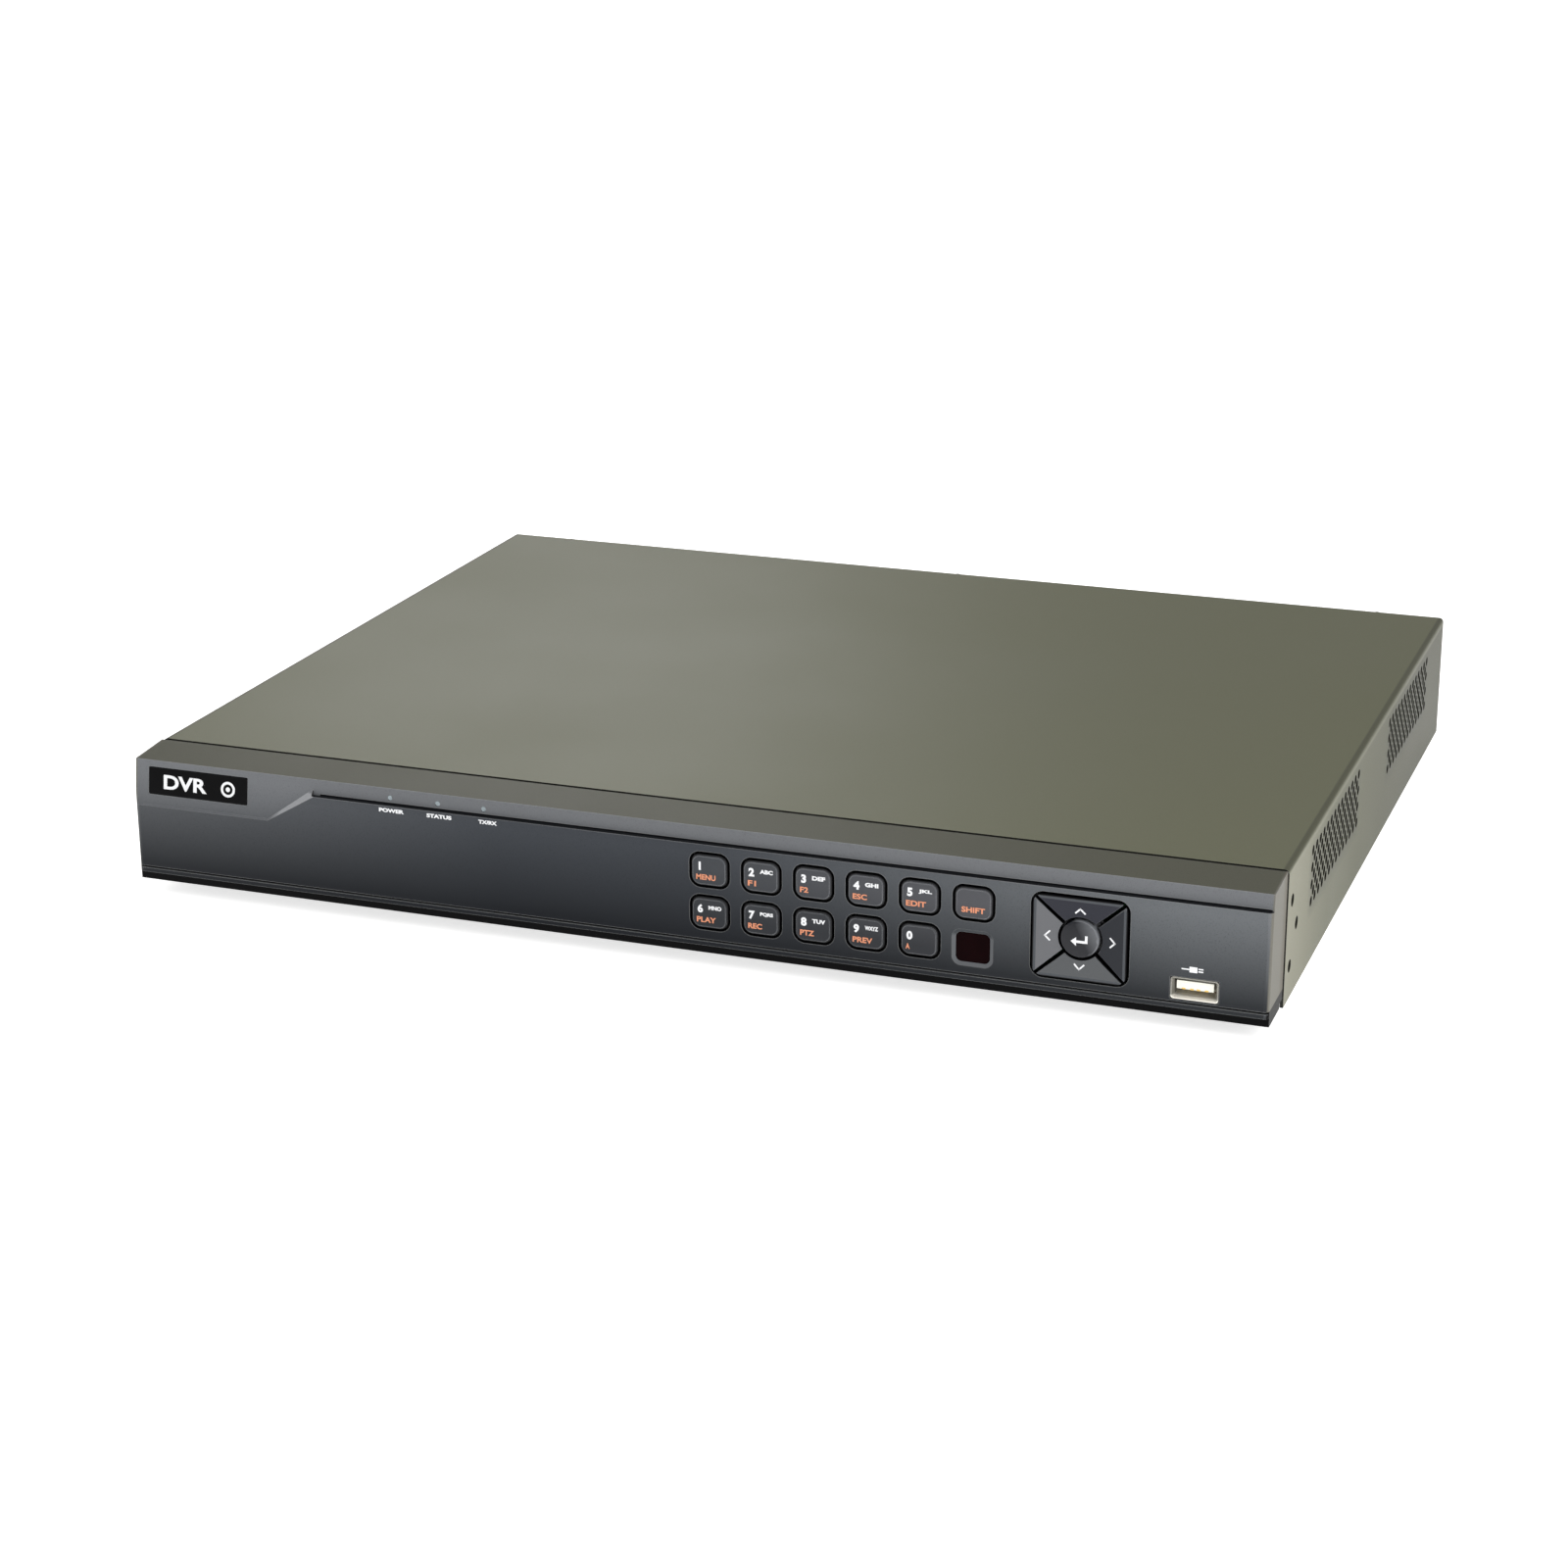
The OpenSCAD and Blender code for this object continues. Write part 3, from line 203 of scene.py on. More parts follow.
class Surface:
    """One procedural material: a base colour, then layers of colour, roughness and bump on it."""

    def __init__(self, name, rgb):
        self.material = bpy.data.materials.new(name)
        self.material.use_nodes = True
        self.tree = self.material.node_tree
        self.shader = self.tree.nodes["Principled BSDF"]
        self.place = self.node("ShaderNodeTexCoord").outputs["Object"]
        self.colour = None
        self.base = linear(rgb)
        self.roughness = []
        self.normal = None

    def node(self, kind, **inputs):
        made = self.tree.nodes.new(kind)
        for key, value in inputs.items():
            socket = made.inputs[key.replace("_", " ")]
            if isinstance(value, bpy.types.NodeSocket):
                self.tree.links.new(value, socket)
            else:
                socket.default_value = value
        return made

    def math(self, operation, a, b=0.0, clamp=False):
        made = self.tree.nodes.new("ShaderNodeMath")
        made.operation = operation
        made.use_clamp = clamp
        for socket, value in zip(made.inputs, (a, b)):
            if isinstance(value, bpy.types.NodeSocket):
                self.tree.links.new(value, socket)
            else:
                socket.default_value = value
        return made.outputs[0]

    def remap(self, value, low, high, to_low=0.0, to_high=1.0):
        made = self.node("ShaderNodeMapRange", Value=value)
        made.inputs["From Min"].default_value = low
        made.inputs["From Max"].default_value = high
        made.inputs["To Min"].default_value = to_low
        made.inputs["To Max"].default_value = to_high
        made.clamp = True
        return made.outputs["Result"]

    def split(self, vector):
        """The x, y and z sockets of a vector."""
        made = self.node("ShaderNodeSeparateXYZ", Vector=vector)
        return made.outputs["X"], made.outputs["Y"], made.outputs["Z"]

    def position(self):
        return self.split(self.place)

    def facing(self):
        """The object's own surface normal, which stays with it in every view."""
        return self.split(self.node("ShaderNodeTexCoord").outputs["Normal"])

    def both(self, *masks):
        total = masks[0]
        for mask in masks[1:]:
            total = self.math("MULTIPLY", total, mask)
        return total

    def invert(self, mask):
        return self.math("SUBTRACT", 1.0, mask)

    def distance(self, value, point):
        return self.math("ABSOLUTE", self.math("SUBTRACT", value, point))

    def noise(self, per_metre, detail=2.0, stretch=None):
        place = self.place
        if stretch:
            place = self.node("ShaderNodeMapping", Vector=place, Scale=stretch).outputs["Vector"]
        made = self.node("ShaderNodeTexNoise", Vector=place, Scale=per_metre, Detail=detail)
        return made.outputs["Fac"]

    def blend(self, amount, rgba):
        """Mixes a colour over what the base colour is so far."""
        made = self.tree.nodes.new("ShaderNodeMix")
        made.data_type = "RGBA"
        under, over = [s for s in made.inputs if s.type == "RGBA"]
        if self.colour is None:
            under.default_value = self.base
        else:
            self.tree.links.new(self.colour, under)
        over.default_value = rgba
        self.tree.links.new(amount, made.inputs["Factor"])
        self.colour = [s for s in made.outputs if s.type == "RGBA"][0]

    def scaled_base(self, factor):
        return tuple(min(c * factor, 1.0) for c in self.base[:3]) + (1.0,)

    def mottle(self, per_metre, amount, detail=3.0, stretch=None):
        """Soft clouds of slightly lighter and darker colour."""
        cloud = self.remap(self.noise(per_metre, detail, stretch), 0.3, 0.7)
        if self.colour is None:
            self.blend(cloud, self.scaled_base(1 + 2 * amount))
        else:
            self.blend(self.math("MULTIPLY", cloud, min(4 * amount, 1)), self.scaled_base(1.5))
        return cloud

    def grain(self, per_metre, depth_mm, shade=0.0, detail=2.0, stretch=None, strength=1.0):
        """Fine texture: bump of the given depth, with the low spots a little darker."""
        height = self.noise(per_metre, detail, stretch)
        made = self.node("ShaderNodeBump", Height=height, Strength=strength, Distance=depth_mm * MM)
        if self.normal is not None:
            self.tree.links.new(self.normal, made.inputs["Normal"])
        self.normal = made.outputs["Normal"]
        if shade:
            low = self.remap(height, 0.45, 0.25, 0.0, shade)
            self.blend(low, self.scaled_base(0.35))
        return height

    def edges(self, radius_mm, rgb, amount, gain=6.0):
        """Painted highlight along the edges, partly standing for wear: lighter colour where the bevel's
        rounded normal turns away from the true one.
        """
        bevel = self.node("ShaderNodeBevel", Radius=radius_mm * MM)
        bevel.samples = 4
        facing = self.node("ShaderNodeNewGeometry").outputs["Normal"]
        dot = self.tree.nodes.new("ShaderNodeVectorMath")
        dot.operation = "DOT_PRODUCT"
        self.tree.links.new(bevel.outputs["Normal"], dot.inputs[0])
        self.tree.links.new(facing, dot.inputs[1])
        off = self.math("SUBTRACT", 1.0, dot.outputs["Value"])
        edge = self.math("MULTIPLY", off, gain, clamp=True)
        self.blend(self.math("MULTIPLY", edge, amount), linear(rgb))
        return edge

    def vary_rough(self, source, amount):
        self.roughness.append((source, amount))

    def finish(self, rough=0.5, **constants):
        """Links the layers to the shader. Constants go on the shader's own sockets."""
        if self.colour is None:
            self.shader.inputs["Base Color"].default_value = self.base
        else:
            self.tree.links.new(self.colour, self.shader.inputs["Base Color"])
        total = None
        for source, amount in self.roughness:
            part = self.math("MULTIPLY", self.math("SUBTRACT", source, 0.5), amount)
            total = part if total is None else self.math("ADD", total, part)
        if total is None:
            self.shader.inputs["Roughness"].default_value = rough
        else:
            self.tree.links.new(self.math("ADD", total, rough, clamp=True), self.shader.inputs["Roughness"])
        if self.normal is not None:
            self.tree.links.new(self.normal, self.shader.inputs["Normal"])
        for key, value in constants.items():
            self.shader.inputs[key.replace("_", " ")].default_value = value
        return self.material


def cover_paint():
    s = Surface("cover_powder_coat", (96, 97, 75))
    cloud = s.mottle(9, 0.02)
    height = s.grain(1500, 0.02, 0.25, detail=3)
    s.vary_rough(cloud, 0.06)
    s.vary_rough(height, 0.12)
    s.edges(0.7, (150, 149, 138), 0.35)
    # Painted light and shade on the right side: lighter to the front and darker to the back
    x, y, z = s.position()
    off_centre = s.math("ABSOLUTE", x)
    flank = s.remap(off_centre, SIDE_X - 0.1 * MM, SIDE_X)
    right_flank = s.remap(x, SIDE_X - 0.1 * MM, SIDE_X)
    s.blend(s.both(right_flank, s.remap(y, -70 * MM, -140 * MM)), linear((130, 128, 110)))
    s.blend(s.both(right_flank, s.remap(y, -110 * MM, 90 * MM, 0.0, 0.9)), linear((60, 60, 38)))
    # Painted shade over and round the vent fields, darkening the sheet where the holes are
    for start in VENT_STARTS:
        end = start + VENT_LENGTH
        field = s.both(
            flank, s.remap(y, start - 4 * MM, start + 2 * MM), s.remap(y, end + 4 * MM, end - 2 * MM),
            s.remap(z, FOOT_H + 15 * MM, FOOT_H + 19 * MM), s.remap(z, FOOT_H + 41 * MM, FOOT_H + 38 * MM),
        )
        s.blend(s.math("MULTIPLY", field, 0.35), linear((46, 46, 36)))
    # Painted shade and highlight along both top edges at the fold: a darker line with a lighter one under
    # it
    nz = s.facing()[2]
    fold = s.both(s.remap(off_centre, SIDE_X - 2.2 * MM, SIDE_X - 1.6 * MM), s.remap(nz, 0.35, 0.6))
    s.blend(s.math("MULTIPLY", fold, 0.55), linear((52, 52, 42)))
    lit = s.both(flank, s.remap(z, CASE_TOP - 3.2 * MM, CASE_TOP - 2.4 * MM), s.remap(nz, 0.3, 0.1))
    s.blend(s.math("MULTIPLY", lit, 0.4), linear((124, 124, 106)))
    # Painted shade on the cut edges of the sheet: the walls of the vent holes, and the front end under the
    # bezel
    sides = s.remap(off_centre, SIDE_X - 0.1 * MM, SIDE_X - 0.25 * MM)
    below = s.remap(z, CASE_TOP - 2.4 * MM, CASE_TOP - 2.6 * MM)
    s.blend(s.both(sides, below, s.remap(y, REAR_Y - 2 * MM, REAR_Y - 3 * MM)), linear((20, 20, 18)))
    s.blend(s.remap(s.facing()[1], -0.6, -0.9), linear((34, 34, 30)))
    return s.finish(rough=0.46, Specular_IOR_Level=0.2)


def bezel_paint():
    """Gunmetal paint with painted light and shade: darker down the face, lighter towards both ends, a
    painted sheen on the leaning brow, and warmer on top.
    """
    s = Surface("bezel_gunmetal", (62, 65, 70))
    x, y, z = s.position()
    _, ny, nz = s.facing()
    case_z = s.math("SUBTRACT", z, FOOT_H)
    # Painted light: the face lighter towards the right end and a little towards the left end, as the lamps
    # fall on it
    s.blend(s.remap(x, 10 * MM, 165 * MM), linear((103, 106, 109)))
    s.blend(s.remap(x, -60 * MM, -180 * MM), linear((88, 90, 93)))
    # Painted shade: the face darker down towards the bottom
    down = s.remap(case_z, 35 * MM, 8 * MM)
    s.blend(s.math("MULTIPLY", down, 0.85), linear((16, 18, 22)))
    cloud = s.mottle(14, 0.01)
    # Painted sheen on the brow, which leans back: lighter on faces that are neither upright nor turned
    # down, more towards its top
    slanted = s.remap(ny, -0.9965, -0.991)
    upward = s.remap(nz, -0.15, -0.02)
    s.blend(s.both(slanted, upward, s.remap(case_z, 26 * MM, 40 * MM, 0.2, 1.0)), linear((112, 114, 117)))
    # Painted highlight on the diagonal facet at the left end of the brow, brightest at its lower left end
    facet = s.both(
        s.remap(nz, 0.35, 0.45), s.remap(case_z, 39 * MM, 38.4 * MM), s.remap(x, -120.8 * MM, -121.2 * MM),
        s.remap(case_z, 27 * MM, 27.4 * MM), s.remap(nz, 0.97, 0.93),
    )
    s.blend(facet, linear((96, 98, 102)))
    s.blend(s.both(facet, s.remap(x, -140 * MM, -136 * MM)), linear((150, 151, 154)))
    on_top = s.both(s.remap(nz, 0.5, 0.8), s.remap(case_z, 41 * MM, 42 * MM))
    s.blend(on_top, linear((84, 84, 73)))
    off_centre = s.math("ABSOLUTE", x)
    flank = s.remap(off_centre, SIDE_X - 1.0 * MM, SIDE_X - 0.5 * MM)
    s.blend(flank, linear((114, 112, 104)))
    # Painted shade on the back of each side, next to the seam with the cover
    s.blend(s.both(flank, s.remap(y, FACE_Y + 14 * MM, FACE_Y + 17 * MM, 0.0, 0.6)), linear((92, 84, 70)))
    flake = s.grain(3200, 0.008, 0.3, detail=2)
    s.vary_rough(cloud, 0.05)
    s.vary_rough(flake, 0.12)
    s.edges(0.4, (160, 161, 160), 0.5)
    # Shade inside the openings and the light slot, behind the back edge and on the chin
    behind_badge = s.both(s.remap(x, -143 * MM, -144 * MM), s.remap(case_z, 26.5 * MM, 27 * MM))
    inner = s.both(
        s.remap(off_centre, SIDE_X - 1.6 * MM, SIDE_X - 2.0 * MM),
        s.remap(case_z, 41.4 * MM, 41.0 * MM),
        s.remap(ny, -0.5, -0.3),
        s.remap(y, FACE_Y + 0.2 * MM, FACE_Y + 0.35 * MM),
        s.invert(behind_badge),
        s.invert(facet),
    )
    s.blend(inner, linear((12, 13, 15)))
    shelf = s.both(
        s.remap(nz, 0.8, 0.9), s.remap(case_z, 37 * MM, 37.5 * MM), s.remap(case_z, 40 * MM, 39.5 * MM),
    )
    s.blend(shelf, linear((30, 31, 34)))
    # Painted light on the sloping rim round the infrared window, left off its downward-facing top side
    window = centre_of("ir_window")
    rim = s.both(
        s.remap(s.distance(x, window.x), 7.4 * MM, 7.2 * MM),
        s.remap(s.distance(z, window.z), 6.8 * MM, 6.6 * MM),
        s.remap(y, FACE_Y + 0.02 * MM, FACE_Y + 0.06 * MM),
        s.remap(y, FACE_Y + 0.8 * MM, FACE_Y + 0.7 * MM),
    )
    s.blend(s.both(rim, s.remap(nz, -0.3, -0.1)), linear((98, 100, 103)))
    s.blend(s.remap(ny, 0.3, 0.5), linear((16, 16, 16)))
    # Painted shade in the groove above the lip and on the set-back faces below it
    s.blend(s.both(s.remap(case_z, 6.9 * MM, 6.75 * MM), s.remap(y, FACE_Y + 0.1 * MM, FACE_Y + 0.3 * MM)),
            linear((9, 9, 10)))
    # Painted highlight on the upward-facing lip over the chin
    lip = s.both(s.remap(case_z, 6.15 * MM, 6.1 * MM), s.remap(case_z, 4.4 * MM, 4.5 * MM))
    s.blend(s.both(lip, s.remap(y, FACE_Y + 0.9 * MM, FACE_Y + 0.8 * MM), s.remap(nz, 0.1, 0.6)),
            linear((104, 106, 108)))
    chin = s.both(s.remap(case_z, 4.6 * MM, 4.45 * MM), s.invert(s.math("MULTIPLY", flank, 0.85)))
    s.blend(chin, linear((5, 5, 6)))
    return s.finish(rough=0.42, Specular_IOR_Level=0.06)


def satin_plastic(name, rgb):
    s = Surface(name, rgb)
    cloud = s.mottle(60, 0.04)
    height = s.grain(3600, 0.012, 0.3)
    s.vary_rough(cloud, 0.08)
    s.vary_rough(height, 0.1)
    return s


def dark_flanks(s):
    """Key sides near and below the face of the bezel are in shade."""
    s.blend(s.remap(s.position()[1], FACE_Y - 0.35 * MM, FACE_Y + 0.05 * MM), linear((10, 10, 12)))


def key_plastic():
    """Number keys with painted light and shade: lighter to the right, the lower row darker, and a painted
    highlight on the edges.
    """
    s = satin_plastic("key_satin", (58, 61, 65))
    x, _, z = s.position()
    s.blend(s.remap(x, 0, 110 * MM, 0.0, 0.8), linear((84, 84, 88)))
    s.blend(s.remap(z, FOOT_H + 30 * MM, FOOT_H + 14 * MM, 0.0, 0.8), linear((34, 36, 40)))
    s.edges(0.5, (170, 172, 175), 0.7)
    dark_flanks(s)
    return s.finish(rough=0.4, Specular_IOR_Level=0.15)


def pad_plastic():
    """Direction keys with painted light and shade: faces that slope to the right or up are painted lighter,
    those that slope left or down darker.
    """
    s = satin_plastic("pad_satin", (74, 77, 81))
    nx, ny, nz = s.facing()
    s.blend(s.remap(nx, 0.03, 0.12), linear((104, 105, 108)))
    s.blend(s.remap(nx, -0.03, -0.12), linear((40, 42, 47)))
    s.blend(s.remap(nz, 0.03, 0.12), linear((88, 90, 92)))
    s.blend(s.remap(nz, -0.03, -0.12), linear((44, 45, 53)))
    s.edges(0.4, (140, 142, 145), 0.5)
    # Shade on the side walls and along the outer edge of the pad
    x, y, z = s.position()
    centre = (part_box("pad_left")[0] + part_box("pad_right")[1]) / 2
    past_x = s.math("SUBTRACT", s.distance(x, centre.x), PAD_HALF.x)
    past_z = s.math("SUBTRACT", s.distance(z, centre.z), PAD_HALF.y)
    outer = s.remap(s.math("MAXIMUM", past_x, past_z), -0.45 * MM, -0.25 * MM)
    walls = s.both(s.remap(y, FACE_Y - 0.3 * MM, FACE_Y + 0.1 * MM), s.remap(ny, -0.95, -0.85))
    s.blend(s.math("MAXIMUM", outer, walls), linear((10, 10, 12)))
    return s.finish(rough=0.42, Specular_IOR_Level=0.15)


def enter_plastic():
    s = Surface("enter_satin", (22, 23, 29))
    cloud = s.mottle(90, 0.04)
    s.grain(4200, 0.006, 0.2)
    s.vary_rough(cloud, 0.08)
    nx, _, nz = s.facing()
    # Painted highlight on the side of the dome that faces right and up
    s.blend(s.remap(s.math("ADD", nx, s.math("MULTIPLY", nz, 0.5)), 0.03, 0.34), linear((112, 114, 118)))
    s.edges(0.3, (160, 162, 166), 0.4)
    return s.finish(rough=0.32, Specular_IOR_Level=0.3)


def sheet_steel(name, rgb, rough=0.38, along=(1, 1, 14)):
    s = Surface(name, rgb)
    spangle = s.mottle(70, 0.05)
    streak = s.grain(420, 0.012, 0.25, detail=4, stretch=along)
    s.vary_rough(spangle, 0.16)
    s.vary_rough(streak, 0.14)
    s.edges(0.4, (225, 225, 222), 0.4)
    return s.finish(rough=rough, Metallic=0.9)


def plated(name, rgb, rough=0.2, metallic=1.0):
    s = Surface(name, rgb)
    cloud = s.mottle(160, 0.05)
    smear = s.grain(900, 0.006, 0.2, detail=3)
    s.vary_rough(cloud, 0.14)
    s.vary_rough(smear, 0.1)
    s.edges(0.25, tuple(min(c + 40, 255) for c in rgb), 0.4)
    return s.finish(rough=rough, Metallic=metallic)


def usb_mouth():
    """Socket shell with painted light: a bright floor and lower lip, darker sides and top."""
    s = Surface("usb_mouth", (118, 116, 108))
    cloud = s.mottle(160, 0.05)
    s.grain(900, 0.006, 0.2, detail=3)
    s.vary_rough(cloud, 0.14)
    z = s.position()[2]
    middle = centre_of("front_usb_shell").z
    # Painted light on the floor of the socket and its lower lip
    s.blend(s.remap(z, middle - 2.2 * MM, middle - 2.9 * MM), linear((236, 232, 222)))
    s.edges(0.25, (236, 234, 226), 0.6)
    return s.finish(rough=0.4, Metallic=0.35)


def moulded(name, rgb, rough=0.5, depth=0.014, per_metre=2600, **constants):
    s = Surface(name, rgb)
    cloud = s.mottle(45, 0.05)
    height = s.grain(per_metre, depth, 0.25)
    s.vary_rough(cloud, 0.08)
    s.vary_rough(height, 0.12)
    s.edges(0.3, tuple(min(c + 46, 255) for c in rgb), 0.35)
    return s.finish(rough=rough, **constants)


def circuit_board():
    s = Surface("solder_mask", (22, 92, 52))
    s.mottle(40, 0.06)
    brick = s.node("ShaderNodeTexBrick", Vector=s.place, Scale=90.0, Mortar_Size=0.035, Mortar_Smooth=0.3)
    brick.offset = 0.37
    brick.squash = 0.6
    s.blend(s.math("MULTIPLY", brick.outputs["Fac"], 0.75), linear((70, 150, 82)))
    made = s.node("ShaderNodeTexVoronoi", Vector=s.place, Scale=420.0)
    made.feature = "F1"
    via = s.remap(made.outputs["Distance"], 0.16, 0.1)
    s.blend(s.math("MULTIPLY", via, 0.8), linear((205, 196, 150)))
    s.grain(1400, 0.01)
    s.vary_rough(via, -0.1)
    return s.finish(rough=0.3, Coat_Weight=0.4, Coat_Roughness=0.12)


def video_port():
    """Blue insert with nickel posts on both sides."""
    s = Surface("video_port", (38, 66, 150))
    cloud = s.mottle(45, 0.05)
    s.grain(2600, 0.014, 0.25)
    s.vary_rough(cloud, 0.08)
    off = s.distance(s.position()[0], centre_of("vga_port").x)
    s.blend(s.remap(off, 9.6 * MM, 9.8 * MM), linear((150, 150, 147)))
    s.edges(0.3, (110, 130, 190), 0.35)
    return s.finish(rough=0.42)


def badge_gloss():
    s = Surface("badge_gloss", (9, 9, 10))
    cloud = s.mottle(120, 0.2)
    s.grain(1800, 0.004, 0.2)
    s.vary_rough(cloud, 0.06)
    s.edges(0.2, (70, 72, 75), 0.5)
    return s.finish(rough=0.22, Specular_IOR_Level=0.05)


def ir_acrylic():
    s = Surface("ir_filter", (14, 2, 3))
    cloud = s.mottle(180, 0.25)
    s.grain(1200, 0.006, 0.2)
    s.vary_rough(cloud, 0.05)
    s.edges(0.3, (50, 18, 20), 0.4)
    return s.finish(rough=0.12, Specular_IOR_Level=0.02)


def clear_acrylic():
    s = Surface("light_pipe_acrylic", (176, 190, 196))
    cloud = s.mottle(300, 0.04)
    s.grain(2600, 0.008, 0.1)
    s.vary_rough(cloud, 0.1)
    return s.finish(rough=0.22, Transmission_Weight=0.35, IOR=1.49)


def printed(name, rgb):
    s = Surface(name, rgb)
    cloud = s.mottle(700, 0.04)
    s.grain(5200, 0.006, 0.2)
    s.vary_rough(cloud, 0.1)
    return s.finish(rough=0.5)


def platter_mirror():
    s = Surface("disk_polish", (208, 209, 212))
    cloud = s.mottle(30, 0.02)
    s.grain(300, 0.002, 0.1)
    s.vary_rough(cloud, 0.04)
    return s.finish(rough=0.06, Metallic=1.0)


def make_materials():
    made = {
        "tray_steel": sheet_steel("tray_zinc", (168, 169, 168)),
        "cover_paint": cover_paint(),
        "bezel_plastic": bezel_paint(),
        "badge_gloss": badge_gloss(),
        "ir_acrylic": ir_acrylic(),
        "clear_acrylic": clear_acrylic(),
        "led_resin": moulded("led_resin", (205, 238, 205), 0.25, 0.004, Transmission_Weight=0.2),
        "circuit_board": circuit_board(),
        "black_moulding": moulded("black_moulding", (30, 30, 33), 0.46),
        "plated_steel": plated("nickel_steel", (150, 150, 148), 0.3),
        "usb_mouth": usb_mouth(),
        "usb_tongue": moulded("usb_tongue", (246, 243, 230), 0.35, 0.01),
        "cream_plastic": moulded("cream_nylon", (228, 224, 204), 0.42),
        "key_plastic": key_plastic(),
        "pad_plastic": pad_plastic(),
        "enter_plastic": enter_plastic(),
        "brass": plated("plated_brass", (214, 176, 98), 0.26),
        "heat_sink_aluminium": sheet_steel("anodised_fins", (46, 47, 50), 0.42, (14, 1, 1)),
        "capacitor_sleeve": moulded("capacitor_sleeve", (34, 46, 88), 0.3, 0.006),
        "nickel_plate": plated("bright_nickel", (172, 172, 168), 0.2),
        "audio_red": moulded("audio_red", (186, 38, 30), 0.4),
        "vga_blue": video_port(),
        "terminal_green": moulded("terminal_green", (56, 138, 72), 0.44),
        "drive_casting": sheet_steel("cast_aluminium", (176, 178, 181), 0.46, (1, 1, 1)),
        "drive_lid_steel": sheet_steel("stamped_lid", (188, 190, 193), 0.3, (1, 10, 1)),
        "platter_mirror": platter_mirror(),
        "lead_red": moulded("flat_lead", (136, 30, 28), 0.45),
        "foot_rubber": moulded("foot_rubber", (27, 27, 28), 0.7, 0.03, 1500),
        "white_ink": printed("white_ink", (232, 233, 235)),
        "orange_ink": printed("orange_ink", (220, 140, 102)),
        "rear_ink": printed("black_ink", (22, 22, 24)),
    }
    return made


def dress_nodes(made):
    for part in frame["record"]["subparts"]:
        node = NODES[part["node"]]
        material = made[part["material_slot"]]
        for place in node.material_slots:
            place.material = material
    for key in ("pad_up", "pad_down", "pad_left", "pad_right"):
        NODES[key].material_slots[0].material = made["pad_plastic"]
    NODES["front_usb_shell"].material_slots[0].material = made["usb_mouth"]
    NODES["front_usb_tongue"].material_slots[0].material = made["usb_tongue"]


def soften(name, width_mm, segments=2, angle=32.0, weld=True):
    """Rounds a CAD node's edges with modifiers and leaves its mesh alone."""
    node = NODES[name]
    if weld:
        join = node.modifiers.new("join", "WELD")
        join.merge_threshold = 1e-6
        flat = node.modifiers.new("flat", "DECIMATE")
        flat.decimate_type = "DISSOLVE"
        flat.angle_limit = math.radians(0.4)
    bevel = node.modifiers.new("round", "BEVEL")
    bevel.width = width_mm * MM
    bevel.segments = segments
    bevel.limit_method = "ANGLE"
    bevel.angle_limit = math.radians(angle)
    bevel.harden_normals = True
    bevel.use_clamp_overlap = True


# ---- Printed marks ----


def new_piece(name, verts, faces, material, body=CASE):
    mesh = bpy.data.meshes.new(name)
    mesh.from_pydata(verts, [], faces)
    mesh.validate()
    mesh.materials.append(material)
    piece = bpy.data.objects.new(name, mesh)
    bpy.context.scene.collection.objects.link(piece)
    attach(piece, body)
    return piece


def letter_shapes(text, height, width=None, bold=0.0, gap=1.0):
    """Triangles of a line of text in its own plane, its lower left corner at the origin."""
    curve = bpy.data.curves.new("lettering", "FONT")
    curve.body = text
    curve.size = 1.0
    curve.offset = bold
    curve.space_character = gap
    curve.resolution_u = 4
    holder = bpy.data.objects.new("lettering", curve)
    bpy.context.scene.collection.objects.link(holder)
    bpy.context.view_layer.update()
    mesh = bpy.data.meshes.new_from_object(holder.evaluated_get(bpy.context.evaluated_depsgraph_get()))
    bpy.data.objects.remove(holder)
    bpy.data.curves.remove(curve)
    points = [v.co.copy() for v in mesh.vertices]
    faces = [tuple(p.vertices) for p in mesh.polygons]
    bpy.data.meshes.remove(mesh)
    lo_x, hi_x = min(p.x for p in points), max(p.x for p in points)
    lo_y, hi_y = min(p.y for p in points), max(p.y for p in points)
    scale_y = height / (hi_y - lo_y)
    scale_x = width / (hi_x - lo_x) if width else scale_y
    flat = [((p.x - lo_x) * scale_x, (p.y - lo_y) * scale_y) for p in points]
    return flat, faces, (hi_x - lo_x) * scale_x


